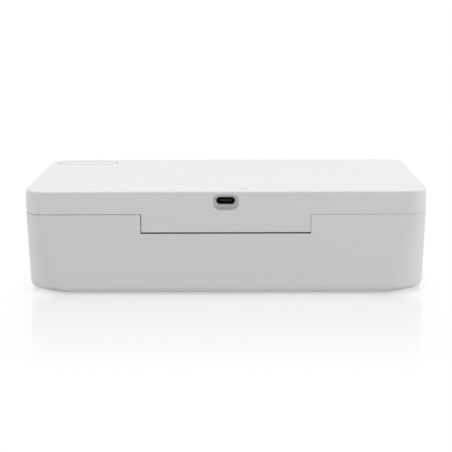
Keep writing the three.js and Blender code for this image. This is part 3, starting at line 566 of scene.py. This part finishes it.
def cut_sweep(shell):
    """Room for the base's rear rim to pass: a round rod about the axis that narrows at the corners.

    Where the rim's corner of radius R lies i in from the rear face, sqrt(R^2 - (R - i)^2) along from
    its start, the rod's radius is hypot(axis inset - i, rim - axis) and a gap.
    """
    radius, hinge, axis = sizes("body").seam_radius, sizes("hinge"), Box("hinge_shaft").middle
    inset = np.linspace(hinge.inset, 0, 9)
    reach = np.hypot(hinge.inset - inset, levels().rim - axis.z) + hinge.sweep_gap
    run = np.sqrt(radius ** 2 - (radius - inset) ** 2)
    end = np.stack([reach, CAD_HIGH.x - radius + run], axis=-1)
    profile = np.concatenate([end * (1, -1), end[::-1]])
    carve(shell, turned(lathe(profile, steps=96), "X") + np.asarray(axis))


def add_tab(shell):
    """The tab is the part of the base's skin that the notch leaves out, with a barrel inside it."""
    wall, hinge, level, axis = sizes("body").wall, sizes("hinge"), levels(), Box("hinge_shaft").middle
    half = notch_half() - hinge.side_gap
    left, right = -half - hinge.side_shift, half - hinge.side_shift
    overlap = 1.5 * MM  # Of the tab with the lid's wall
    low, root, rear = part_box("lid_cover")[0].z, level.lid + overlap, CAD_HIGH.y
    tab = build("tab", skin([low - wall, level.seam, root], 0.0))
    carve(tab, brick((left, rear - wall, low), (right, rear + wall, root)), "INTERSECT")
    carve(shell, tab, "UNION")
    carve(shell, rod(hinge.barrel, left, right, axis, "X"), "UNION")
    reach = CAD_HIGH.x + wall
    carve(shell, rod(hinge.bore, -reach, reach, axis, "X"))


def add_pocket(shell):
    """The pocket is a round-cornered well in a block behind the rear wall, with the port's hole."""
    wall, pocket, port = sizes("body").wall, sizes("pocket"), Box("usb_c_shell")
    rear, level = CAD_HIGH.y, port.middle.z
    floor = rear - pocket.depth
    half = pocket.width / 2 + BLOCK_WALL
    low = (-half, floor - BLOCK_BACK, level - pocket.height / 2 - BLOCK_WALL)
    carve(shell, brick(low, (half, rear - wall / 2, levels().top - wall / 2)), "UNION")
    mouth = pocket.mouth_round
    flare, rise = arc(mouth, 8)
    depths, widened = np.r_[floor, rear - mouth + rise, rear + OVER], np.r_[-pocket.taper, flare, mouth]
    half_x, half_z, radius = (part + widened for part in (pocket.width / 2, pocket.height / 2, pocket.radius))
    rows = turned(rings(depths, half_x, half_z, radius), "Y") + np.array([0, 0, level])
    rows[1:, :, 2] -= pocket.mouth_drop
    carve(shell, rows)
    depths, gap = [floor - 2 * BLOCK_BACK, floor + OVER], 2 * pocket.hole_gap
    carve(shell, oval(depths, port.size.x + gap, port.size.z + gap, level))


def button_oval():
    """The cap's half length and half width."""
    size, button = Box("power_button").size, sizes("button")
    return size.x / 2 - button.end_lap, size.y / 2 - button.side_lap


def dish_profile(inner):
    """The light's shallow dish as (radius, height) pairs from an inner radius out: top - d (1 - (r / R)^2)."""
    body, top = sizes("body"), levels().top
    return [
        (radius, top - body.light_dish_depth * (1 - (radius / body.light_dish) ** 2))
        for radius in np.linspace(inner, body.light_dish, 8)]


def cut_top(shell):
    """The button's oval opening and the light pipe's round hole and dish go through the top."""
    wall, button, top = sizes("body").wall, sizes("button"), levels().top
    half_long, half_wide = button_oval()
    over, wide, pipe_gap = top + wall, half_wide + button.side_gap, 0.06 * MM
    rows = rings([top - 2 * wall, over], half_long + button.end_gap, wide, wide, button.opening_shift)
    carve(shell, rows + Box("power_button").plan)
    pipe = Box("status_light_pipe")
    radius = pipe.size.x / 2
    carve(shell, rod(radius + pipe_gap, pipe.middle.z - pipe.size.z, over, pipe.plan))
    dish = dish_profile(radius)
    carve(shell, lathe(dish + [(dish[-1][0], over)]) + pipe.plan)


class BOX_OT_lid_shell(bpy.types.Operator):
    """Make the lid's outer shell with its hinge tab, inlet pocket, button opening and light hole"""

    bl_idname = "box.lid_shell"
    bl_label = "Lid shell"

    def execute(self, context):
        shell = lid_skin()
        for step in (cut_sweep, add_tab, add_pocket, cut_top):
            step(shell)
        soften(shell, sizes("body").edge_round)
        dress(shell, "lid", "white_shell", "shell", "lid_cover")
        return {"FINISHED"}


# The base


def base_skin():
    """The skin from the underside up the outside, over the rim and down the inside to the floor.

    The rim stands higher by its warp times t^2, where t goes from 0 at the +X end to 1 at the -X end.
    """
    body, level = sizes("body"), levels()
    foot = level.bottom + body.bottom_lift + foot_profile()[0]
    floor = level.bottom + body.wall
    outer = skin(np.r_[foot, level.rim], 0.0)
    rows = np.concatenate([outer, skin(np.r_[level.rim, foot[foot > floor][::-1], floor], body.wall)])
    rim = rows[len(outer) - 1:len(outer) + 1]
    rim[..., 2] += body.rim_warp * ((CAD_HIGH.x - rim[..., 0]) / (CAD_HIGH.x - CAD_LOW.x)) ** 2
    return build("base_outer_shell", rows)


def cut_notch(shell):
    """The notch lets the tab hang, and a round sweep about the axis lets it turn."""
    wall, hinge, axis, half = sizes("body").wall, sizes("hinge"), Box("hinge_shaft").middle, notch_half()
    low = (-half, axis.y - hinge.base_barrel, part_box("lid_cover")[0].z - hinge.bottom_gap)
    carve(shell, brick(low, (half, CAD_HIGH.y + wall, levels().rim + wall)))
    turn_gap = 0.3 * MM
    carve(shell, rod(math.hypot(hinge.inset, hinge.barrel) + turn_gap, -half, half, axis, "X"))
    end = half + hinge.base_barrel_length
    for left, right in ((half, end), (-end, -half)):
        carve(shell, rod(hinge.base_barrel, left, right, axis, "X"), "UNION")
    carve(shell, rod(hinge.bore, -end - OVER, end + OVER, axis, "X"))


def cut_scoop(shell):
    """The scoop is a part of a flattened ball: x = a cos u cos v, y = b sin u cos v, z = c sin v."""
    v = np.linspace(-np.pi / 2, np.pi / 2, 33)[1:-1]
    half_width, depth, half_height = mm(14, 1.2, 5)
    rows = lathe(np.stack([np.cos(v), np.sin(v)], axis=-1), steps=64) * (half_width, depth, half_height)
    carve(shell, rows + np.array([0, CAD_LOW.y, levels().rim]))


def cut_feet(shell):
    """A round recess over each foot, with the stepped hole of the screw above it."""
    bottom = levels().bottom
    gap, reach = mm(0.2, 5)
    for foot, screw in zip(map(Box, copies("foot", 4)), map(Box, copies("base_screw", 4))):
        carve(shell, rod(foot.size.x / 2 + gap, bottom - OVER, foot.high.z + gap, foot.plan))
        carve(shell, rod(screw.size.x / 2 + HEAD_GAP, bottom, screw.low.z + HEAD_DEPTH, foot.plan))
        carve(shell, rod(SHANK_HOLE, bottom, bottom + reach, foot.plan))


class BOX_OT_base_shell(bpy.types.Operator):
    """Make the base's shell with its notch, hinge barrels, thumb scoop and foot recesses"""

    bl_idname = "box.base_shell"
    bl_label = "Base shell"

    def execute(self, context):
        shell = base_skin()
        for step in (cut_notch, cut_scoop, cut_feet):
            step(shell)
        soften(shell, sizes("body").edge_round)
        dress(shell, "base", "white_shell", "shell", "base_shell")
        return {"FINISHED"}


# The button, the inlet and the status light


class BOX_OT_button(bpy.types.Operator):
    """Make the power button's cap with its flange"""

    bl_idname = "box.button"
    bl_label = "Power button"

    def execute(self, context):
        """The cap's top falls from its rim as dish (1 - (1 - s)^2), with s from 0 at the rim to 1 inside."""
        button, node, (half_long, half_wide) = sizes("button"), Box("power_button"), button_oval()
        thick, stem = mm(1.1, 2)
        hollow_end, hollow_span = 0.9, 0.98  # Shares of the way in, and of the half width that it covers
        flange, edge, top = node.high.z - sizes("body").wall - SHELL_GAP, button.edge_round, node.high.z
        drawn, rise = arc(edge, 6)
        s = np.linspace(0, hollow_end, 10)[1:]
        hollow = top - button.dish * (1 - (1 - s) ** 2)
        heights = np.r_[flange - thick, flange, flange, top - edge + rise, hollow]
        inset = np.r_[0, drawn, edge + s * (half_wide - edge) * hollow_span]
        half_x, half_y = node.size.x / 2, node.size.y / 2
        long_, wide = np.r_[half_x, half_x, half_long - inset], np.r_[half_y, half_y, half_wide - inset]
        shift = np.r_[0, 0, button.cap_shift + 0 * inset]
        cap = build("power_button_cap", rings(heights, long_, wide, wide, shift, steps=24) + node.plan)
        carve(cap, rod(stem, node.low.z, flange, node.plan), "UNION")
        smooth(cap, 50)
        dress(cap, "button", "white_button", "button", "power_button")
        return {"FINISHED"}


def make_port_shell():
    """The shell is an oval tube whose mouth edge is rounded over half its wall."""
    wall, node = sizes("pocket").shell_wall, Box("usb_c_shell")
    across, along = arc(wall / 2, 9, np.pi)
    depths = np.r_[node.low.y, node.high.y - wall / 2 + along, node.low.y]
    inset = np.r_[0, across, wall]
    rows = oval(depths, node.size.x - 2 * inset, node.size.z - 2 * inset, node.middle.z)
    shell = build("usb_c_port_shell", rows, loop=True)
    smooth(shell, 50)
    dress(shell, "lid", "steel", "dark_nickel", "usb_c_shell")


def make_tongue(node, thick):
    """The tongue is a thin plate with round corners, on a root that fills the shell."""
    half_width, corner, root, edge = mm(3.35, 0.6, 1.4, 0.12)
    plate = rings([-thick / 2, thick / 2], half_width, node.size.y / 2, corner, steps=8)
    tongue = build("usb_c_port_tongue", plate + np.array(node.middle))
    carve(tongue, oval([node.low.y, node.low.y + root], node.size.x, node.size.z, node.middle.z), "UNION")
    soften(tongue, edge, segments=2)
    dress(tongue, "lid", "black_plastic", "black", "usb_c_tongue")


def make_contacts(node, thick):
    """Twelve flat contacts lie side by side on each face of the tongue, half a millimetre apart."""
    count, contacts = 12, None
    pitch, half, proud, rear, front = mm(0.5, 0.13, 0.03, 3.6, 0.6)
    for place in range(count):
        x = (place - (count - 1) / 2) * pitch
        for z in (node.middle.z - thick / 2, node.middle.z + thick / 2):
            low, high = (x - half, node.high.y - rear, z - proud), (x + half, node.high.y - front, z + proud)
            if contacts:
                carve(contacts, brick(low, high), "UNION")
            else:
                contacts = build("usb_c_port_contacts", brick(low, high))
    dress(contacts, "lid", "steel", "gold")


class BOX_OT_inlet(bpy.types.Operator):
    """Make the connector's shell, tongue and contacts"""

    bl_idname = "box.inlet"
    bl_label = "Inlet connector"

    def execute(self, context):
        make_port_shell()
        node, thick = Box("usb_c_tongue"), 0.7 * MM
        make_tongue(node, thick)
        make_contacts(node, thick)
        return {"FINISHED"}


class BOX_OT_light_pipe(bpy.types.Operator):
    """Make the status light pipe"""

    bl_idname = "box.light_pipe"
    bl_label = "Status light pipe"

    def execute(self, context):
        """A stem and a head turned about one axis, the head's end following the dish it stands in."""
        node = Box("status_light_pipe")
        stem, head, edge, middle = mm(1.4, 3, 0.08, 0.2)
        radius, neck = node.size.x / 2, node.high.z - head
        end = [pair for pair in dish_profile(middle) if pair[0] < radius - edge][::-1]
        side = [(stem, node.low.z), (stem, neck), (radius, neck), (radius, end[0][1] - edge)]
        pipe = build("status_light", lathe(side + end) + node.plan)
        smooth(pipe, 40)
        dress(pipe, "lid", "light_pipe", "pipe", "status_light_pipe")
        return {"FINISHED"}


# The tray and the seal

TRAY_RISE = 4.6 * MM  # Height of the tray's underside above the base's
SIDE_ROOM, FRONT_ROOM = 0.8 * MM, 2.8 * MM  # Room between the tray and the base's walls
REAR_ROOM = 6.5 * MM  # Room between the tray and the rear face, for the hinge


def tray_rows(heights, inset):
    """Rows of the tray's wall: the skin's inside, set in from the sides, the front and the rear."""
    body, fillet = sizes("body"), sizes("tray").fillet
    heights = np.asarray(heights, float)
    below, cone = wall_cone(heights)
    taper = below * math.tan(body.base_draft) + body.wall
    draw = inset + edge_inset(fillet - inset, levels().bottom + TRAY_RISE + fillet - heights)
    half_x = CAD_HIGH.x - taper - SIDE_ROOM - draw
    front, rear = CAD_HIGH.y - taper - FRONT_ROOM - draw, CAD_HIGH.y - REAR_ROOM - draw
    radius = body.seam_radius + cone - taper - SIDE_ROOM - draw
    return rings(heights, half_x, (front + rear) / 2, radius, (rear - front) / 2, steps=16)


def make_tray():
    """A deep tray with a flange that reaches the base's walls, but for the hinge, and bosses below it."""
    tray, node = sizes("tray"), Box("base_liner")
    floor, top, low = levels().bottom + TRAY_RISE, node.high.z, node.low.z
    start = floor + tray.fillet
    outer = tray_rows(np.r_[start - arc(tray.fillet, 10)[1][::-1], top], 0.0)
    inner = tray_rows(np.r_[top, start - arc(tray.fillet - tray.wall, 10)[1]], tray.wall)
    piece = build("mirror_tray", np.concatenate([outer, inner]))
    thick, hinge_half, boss, edge = mm(0.8, 54, 4, 0.3)
    under, over = top - thick - OVER, top + OVER
    flange = build("flange", skin([top - thick, top], sizes("body").wall + SHELL_GAP))
    carve(flange, brick((-hinge_half, CAD_HIGH.y - REAR_ROOM, under), (hinge_half, CAD_HIGH.y, over)))
    carve(flange, tray_rows([under, over], tray.wall / 2))
    carve(piece, flange, "UNION")
    add_ribs(piece, floor + tray.wall)
    hole_top = floor + tray.floor * 0.6  # The hole ends in the floor
    for screw in map(Box, copies("base_screw", 4)):
        carve(piece, rod(boss, low, floor + tray.floor / 2, screw.plan), "UNION")
        carve(piece, rod(SHANK_HOLE, low - OVER, hole_top, screw.plan))
    soften(piece, edge)
    dress(piece, "base", "mirror_tray", "mirror", "base_liner")


def add_ribs(piece, floor):
    """Ribs with round ends and round backs, evenly spaced from front to rear."""
    tray, from_side = sizes("tray"), 30 * MM
    half_x, half_y = CAD_HIGH.x - from_side, tray.rib_width / 2
    back = half_y * 0.7  # The round takes this much of the half width
    across, along = (part[:-1] for part in arc(back, 6))
    heights, inset = np.r_[floor - tray.wall / 2, floor + tray.rib_height - back + along], np.r_[0, across]
    for rib in range(tray.rib_count):
        y = (rib - (tray.rib_count - 1) / 2) * tray.rib_pitch
        carve(piece, rings(heights, half_x - inset, half_y - inset, half_y - inset, y, steps=6), "UNION")


def make_seal():
    """A ring whose section is flat below and round above, carried round the tray's mouth."""
    node, width, turn = Box("chamber_seal"), 1 * MM, np.linspace(0, np.pi, 13)
    crown = min(node.size.z, width / 2)
    heights = np.r_[node.low.z, node.high.z - crown + crown * np.sin(turn), node.low.z]
    outer = sizes("tray").wall - SHELL_GAP - width
    inset = outer + np.r_[0, width / 2 * (1 - np.cos(turn)), width]
    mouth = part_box("base_liner")[1].z
    rows = np.concatenate([tray_rows([mouth], part) for part in inset])
    rows[..., 2] = heights[:, None]
    seal = build("tray_seal", rows, loop=True)
    smooth(seal, 60)
    dress(seal, "base", "seal_rubber", "seal", "chamber_seal")


class BOX_OT_tray(bpy.types.Operator):
    """Make the mirrored tray with its ribs, and the seal on its rim"""

    bl_idname = "box.tray"
    bl_label = "Tray and seal"

    def execute(self, context):
        make_tray()
        make_seal()
        return {"FINISHED"}


# The reflector, the windows and the lamps


def make_plate(low):
    """A flat plate inside the lid's walls, notched at the pocket, with posts for the lamp boards."""
    thick, post, post_inset = mm(1.5, 2, 3)
    top, pocket = low + thick, sizes("pocket")
    plate = build("lid_reflector", skin([low, top], sizes("body").wall + SHELL_GAP))
    half = pocket.width / 2 + BLOCK_WALL + SHELL_GAP
    front = CAD_HIGH.y - pocket.depth - BLOCK_BACK - SHELL_GAP
    carve(plate, brick((-half, front, low - OVER), (half, CAD_HIGH.y, top + OVER)))
    post_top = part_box("lamp_board_right")[0].z - SHELL_GAP
    for board in map(Box, ("lamp_board_right", "lamp_board_left")):
        for side in ((1, 1, 0), (-1, 1, 0), (-1, -1, 0), (1, -1, 0)):
            place = board.plan + np.array(side) * (np.array(board.size) / 2 - post_inset)
            carve(plate, rod(post, top - OVER, post_top, place, steps=24), "UNION")
    return plate


def cut_window(cover, window, plate_low):
    """A cone opens downwards below each window, and a round bed above holds the glass."""
    lap, flare, below_plate, below_glass, bed_gap, bed_drop = mm(1.2, 0.9, 0.01, 0.12, 0.15, 0.08)
    radius, low, over = window.size.x / 2, window.low.z, window.high.z + OVER
    inner = radius - lap
    cone = [(inner + flare, plate_low - below_plate), (inner, low - below_glass), (inner, over)]
    carve(cover, lathe(cone) + window.plan)
    carve(cover, rod(radius + bed_gap, low - bed_drop, over, window.plan))


def make_window(name, node):
    """A flat disc with ground edges."""
    low, high, radius, edge = node.low.z, node.high.z, node.size.x / 2, 0.12 * MM
    profile = [(radius - edge, low), (radius, low + edge), (radius, high - edge), (radius - edge, high)]
    window = build(name.replace("quartz_", ""), lathe(profile) + node.plan)
    smooth(window, 30)
    dress(window, "lid", "quartz", "quartz", name)


class BOX_OT_reflector(bpy.types.Operator):
    """Make the lid's mirrored inner cover and its quartz windows"""

    bl_idname = "box.reflector"
    bl_label = "Reflector and windows"

    def execute(self, context):
        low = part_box("lid_inner_cover")[0].z
        shank, board_reach, edge = mm(3, 5, 0.18)
        cover = make_plate(low)
        for name in copies("quartz_window", 4):
            window = Box(name)
            cut_window(cover, window, low)
            make_window(name, window)
        for screw in map(Box, copies("lid_screw", 6)):
            carve(cover, rod(screw.size.x / 2 + HEAD_GAP, low - OVER, low + HEAD_DEPTH, screw.plan))
            carve(cover, rod(SHANK_HOLE, low, low + shank, screw.plan))
        for screw in map(Box, copies("board_screw", 4)):
            head = screw.low.z - SHELL_GAP
            carve(cover, rod(screw.size.x / 2 + HEAD_GAP, head, head + board_reach, screw.plan))
        soften(cover, edge)
        dress(cover, "lid", "mirror_tray", "mirror", "lid_inner_cover")
        return {"FINISHED"}


def make_package(name, node):
    """A square ceramic body with a square well sunk in its lower face."""
    half, low = node.size.x / 2, node.low.z
    corner, well_depth, well_slope, well_wall, well_corner, edge = mm(0.25, 0.5, 0.5, 0.9, 0.2, 0.06)
    rows = rings([low, node.high.z], half, half, corner, steps=4)
    package = build(name.replace("uv_led", "lamp_package"), rows + node.plan)
    wide = [half + well_slope, half - well_wall]
    carve(package, rings([low - OVER, low + well_depth], wide, wide, well_corner, steps=4) + node.plan)
    soften(package, edge, segments=2)
    dress(package, "lid", "lamp", "ceramic", name)


def make_chip(name, node):
    """A small chip with bevelled sides on the floor of the well."""
    heights, half, corner = node.low.z + mm(0.2, 0.25, 0.52), mm(0.42, 0.5, 0.5), 0.05 * MM
    chip = build(name.replace("uv_led", "lamp_chip"), rings(heights, half, half, corner, steps=3) + node.plan)
    smooth(chip, 30)
    dress(chip, "lid", "lamp", "gold")


class BOX_OT_lamps(bpy.types.Operator):
    """Make the ultraviolet lamps behind the windows"""

    bl_idname = "box.lamps"
    bl_label = "Ultraviolet lamps"

    def execute(self, context):
        for name in copies("uv_led", 4):
            make_package(name, Box(name))
            make_chip(name, Box(name))
        return {"FINISHED"}


# The screws, the feet and the pieces that stay


def make_screw(name, body):
    """A head rounded below with two crossed slots, and a shank with a ringed thread and a pointed end."""
    node = Box(name)
    radius, low, high = node.size.x / 2, node.low.z, node.high.z
    thick, edge, plain, shank, thread, pitch, point, tip = mm(0.7, 0.3, 0.2, 1, 0.18, 0.45, 0.5, 0.4)
    slot_long, slot_wide, slot_depth = mm(1.2, 0.28, 0.4)
    across, along = arc(edge, 5)
    neck, root = low + thick, shank - thread
    start, end = neck + plain, high - point
    turns = np.linspace(start, end, 2 * int((end - start) / pitch) + 1)
    crests = [(shank if place % 2 else root, level) for place, level in enumerate(turns)]
    head = [*zip(radius - edge + along, low + across), (radius, neck), (root, neck)]
    rows = lathe(head + crests + [(tip, high)], steps=24)
    screw = build(name.replace("screw", "screw_body"), rows)
    for long_, wide in ((slot_long, slot_wide), (slot_wide, slot_long)):
        carve(screw, brick((-long_, -wide, low - OVER), (long_, wide, low + slot_depth)))
    screw.data.transform(Matrix.Translation(node.plan))
    smooth(screw, 30)
    dress(screw, body, "steel", "nickel", name)


class BOX_OT_screws(bpy.types.Operator):
    """Make the screws with rounded heads and cross recesses"""

    bl_idname = "box.screws"
    bl_label = "Screws"

    def execute(self, context):
        groups = ("lid_screw", 6, "lid"), ("board_screw", 4, "lid"), ("base_screw", 4, "base")
        for name, count, body in groups:
            for node in copies(name, count):
                make_screw(node, body)
        return {"FINISHED"}


class BOX_OT_feet(bpy.types.Operator):
    """Make the four feet"""

    bl_idname = "box.feet"
    bl_label = "Feet"

    def execute(self, context):
        """A round pad with a rounded lower edge."""
        edge, chamfer = mm(0.5, 0.1)
        across, along = arc(edge, 7)
        for name in copies("foot", 4):
            node = Box(name)
            radius, high = node.size.x / 2, node.high.z
            lower = [*zip(radius - edge + along, node.low.z + across)]
            profile = lower + [(radius, high - chamfer), (radius - chamfer, high)]
            foot = build(name.replace("foot", "foot_pad"), lathe(profile, steps=64) + node.plan)
            smooth(foot, 40)
            dress(foot, "base", "foot_rubber", "foot", name)
        return {"FINISHED"}


class BOX_OT_finishes(bpy.types.Operator):
    """Give the nodes that stay their finishes"""

    bl_idname = "box.finishes"
    bl_label = "Finishes of the inner pieces"

    def execute(self, context):
        looks = {
            "nickel": ["hinge_shaft", "base_magnet_1", "base_magnet_2", "lid_magnet_1", "lid_magnet_2"],
            "board": ["main_board", "switch_board"],
            "lamp_board": ["lamp_board_right", "lamp_board_left"],
            "black": ["controller_chip", "inductor", "switch_body", "switch_plunger", "lid_sensor"],
            "can": ["capacitor_1", "capacitor_2"],
            "ceramic": ["status_led"],
            "film": ["lamp_ribbon_right", "lamp_ribbon_left", "switch_ribbon"],
        }
        for look, nodes in looks.items():
            for node in nodes:
                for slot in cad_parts[node].material_slots:
                    slot.material = finish(look)
        return {"FINISHED"}


# The stage


def set_camera(scene, stage):
    """The camera looks back at the rear face; its axes are turned by yaw, pitch and roll."""
    yaw, pitch, roll, sensor = stage.camera_yaw, stage.camera_pitch, stage.camera_roll, 36.0
    flip, up = Vector((-1, 1, 1)), Vector((0, 0, 1))
    level_right = Vector((math.cos(yaw), math.sin(yaw), 0))
    level_back = Vector((-math.sin(yaw), math.cos(yaw), 0))
    back = level_back * math.cos(pitch) + up * math.sin(pitch)
    tilted = up * math.cos(pitch) - level_back * math.sin(pitch)
    right = level_right * math.cos(roll) + tilted * math.sin(roll)
    top = tilted * math.cos(roll) - level_right * math.sin(roll)
    axes = Matrix([right * flip, top * flip, back * flip]).transposed().to_4x4()
    camera = bpy.data.objects.new("camera", bpy.data.cameras.new("camera"))
    camera.data.sensor_width = sensor
    camera.data.lens = sensor * stage.focal_pixels / stage.frame_pixels
    camera.matrix_world = Matrix.Translation(stage.camera_place) @ axes
    scene.collection.objects.link(camera)
    scene.camera = camera


def seen_rays(tree):
    """A socket that is 1 for camera, glossy and transmission rays and 0 for the rest."""
    path = add_node(tree, "LightPath")
    seen = path.outputs["Is Camera Ray"]
    for kind in ("Is Glossy Ray", "Is Transmission Ray"):
        seen = add_node(tree, "Math", {0: seen, 1: path.outputs[kind]}, operation="MAXIMUM")
    return seen


def floor_material(stage):
    """White acrylic sheet: it keeps the shadow and a soft reflection near the box, and is white beyond.

    The share of white grows with the distance past the area by the box, max(|p| - half, 0) times its
    weight, or with the nearness to a corner of the box where that gives more. Near the corners that white is
    painted light, which lightens the box's shadow on the floor there.
    """
    half, weight, reach = (0.094, 0.085, 0), (6, 1, 0), 0.095
    box_corner, corner_painted_light_reach = (0.097, 0.056, 0), 0.024
    material = bpy.data.materials.new("white_acrylic_sheet")
    tree = empty_tree(material)
    seen = seen_rays(tree)
    sheet = {"Base Color": linear(stage.floor_colour), "IOR": 1.6, "Roughness": stage.floor_roughness}
    lift = add_node(tree, "Math", {0: seen, 1: stage.floor_level}, operation="MULTIPLY")
    glow = add_node(tree, "Emission", {"Strength": lift})
    near = add_node(tree, "AddShader", {0: add_node(tree, "BsdfPrincipled", sheet), 1: glow})
    place = add_node(tree, "TexCoord").outputs["Object"]
    past = mirrored = add_node(tree, "VectorMath", {0: place}, operation="ABSOLUTE")
    for operation, value in (("SUBTRACT", half), ("MAXIMUM", (0, 0, 0)), ("MULTIPLY", weight)):
        past = add_node(tree, "VectorMath", {0: past, 1: value}, operation=operation)
    distance = add_node(tree, "VectorMath", {0: past}, operation="LENGTH").outputs["Value"]
    fade = {"Value": distance, "From Max": reach, "To Min": stage.floor_fade}
    nearness = add_node(tree, "VectorMath", {0: mirrored, 1: box_corner}, operation="DISTANCE").outputs["Value"]
    # Painted light: white added near each corner of the box, which lightens its shadow on the floor and fades
    # out over the reach
    corner = {"Value": nearness, "From Max": corner_painted_light_reach, "To Min": stage.corner_painted_light, "To Max": 0.0}
    shares = {0: add_node(tree, "MapRange", fade), 1: add_node(tree, "MapRange", corner)}
    share = add_node(tree, "Math", shares, operation="MAXIMUM")
    factor = add_node(tree, "Math", {0: share, 1: seen}, operation="MULTIPLY")
    mix = add_node(tree, "MixShader", {0: factor, 1: near, 2: add_node(tree, "Emission")})
    add_node(tree, "OutputMaterial", {"Surface": mix})
    return material


def set_sky(scene, stage):
    """The sky is white to the camera and in reflections, and dimmer as a light."""
    scene.world = bpy.data.worlds.new("sky")
    tree = empty_tree(scene.world)
    level = {"Value": seen_rays(tree), "To Min": stage.sky_level, "To Max": 1.0}
    light = {"Strength": add_node(tree, "MapRange", level), "Color": (1, 1, 1, 1)}
    add_node(tree, "OutputWorld", {"Surface": add_node(tree, "Background", light)})


def add_light(scene, name, place, target, size, power):
    """A square soft light that faces a point. It isn't mirrored, because the sky is what shows there."""
    data = bpy.data.lights.new(name, "AREA")
    data.size = size
    data.energy = power
    light = bpy.data.objects.new(name, data)
    light.visible_glossy = False
    light.location = place
    light.rotation_euler = (Vector(target) - Vector(place)).to_track_quat("-Z", "Y").to_euler()
    scene.collection.objects.link(light)


class BOX_OT_stage(bpy.types.Operator):
    """Set the camera, the floor, the lights and the sky"""

    bl_idname = "box.stage"
    bl_label = "Stage"

    def execute(self, context):
        scene, stage = context.scene, sizes("stage")
        set_camera(scene, stage)
        reach, thick = 6.0, 0.01
        floor = build("floor", brick((-reach, -reach, -thick), (reach, reach, 0.0)))
        floor.data.materials.append(floor_material(stage))
        set_sky(scene, stage)
        add_light(scene, "overhead", (0, 0.1, 1.5), (0, 0, 0), 1.6, stage.top_power)
        add_light(scene, "left_side", (1.2, 0.42, 0.35), (0, 0, 0.02), 0.8, stage.left_power)
        add_light(scene, "right_side", (-1.2, 0.42, 0.35), (0, 0, 0.02), 0.8, stage.right_power)
        scene.view_settings.view_transform = "Standard"
        return {"FINISHED"}


# Registration

GROUPS = {
    "box_body": BodySizes, "box_hinge": HingeSizes, "box_pocket": PocketSizes, "box_button": ButtonSizes,
    "box_tray": TraySizes, "box_stage": StageSettings}

OPERATORS = (
    BOX_OT_stage, BOX_OT_base_shell, BOX_OT_lid_shell, BOX_OT_button, BOX_OT_inlet, BOX_OT_light_pipe,
    BOX_OT_tray, BOX_OT_reflector, BOX_OT_lamps, BOX_OT_screws, BOX_OT_feet, BOX_OT_finishes)


class BOX_PT_panel(bpy.types.Panel):
    """The sidebar's list of the box's operators"""

    bl_idname = "BOX_PT_panel"
    bl_label = "Sterilizing box"
    bl_space_type = "VIEW_3D"
    bl_region_type = "UI"
    bl_category = "Sterilizer"

    def draw(self, context):
        for operator in OPERATORS:
            self.layout.operator(operator.bl_idname)
        for name, group in GROUPS.items():
            for size in group.__annotations__:
                self.layout.prop(getattr(context.scene, name), size)


CLASSES = (*GROUPS.values(), *OPERATORS, BOX_PT_panel)


def register():
    for entry in CLASSES:
        bpy.utils.register_class(entry)
    for name, group in GROUPS.items():
        setattr(bpy.types.Scene, name, PointerProperty(type=group))


def unregister():
    for name in GROUPS:
        delattr(bpy.types.Scene, name)
    for entry in reversed(CLASSES):
        bpy.utils.unregister_class(entry)


def main():
    register()
    for operator in OPERATORS:
        group, name = operator.bl_idname.split(".")
        getattr(getattr(bpy.ops, group), name)()


if __name__ == "__main__":
    main()
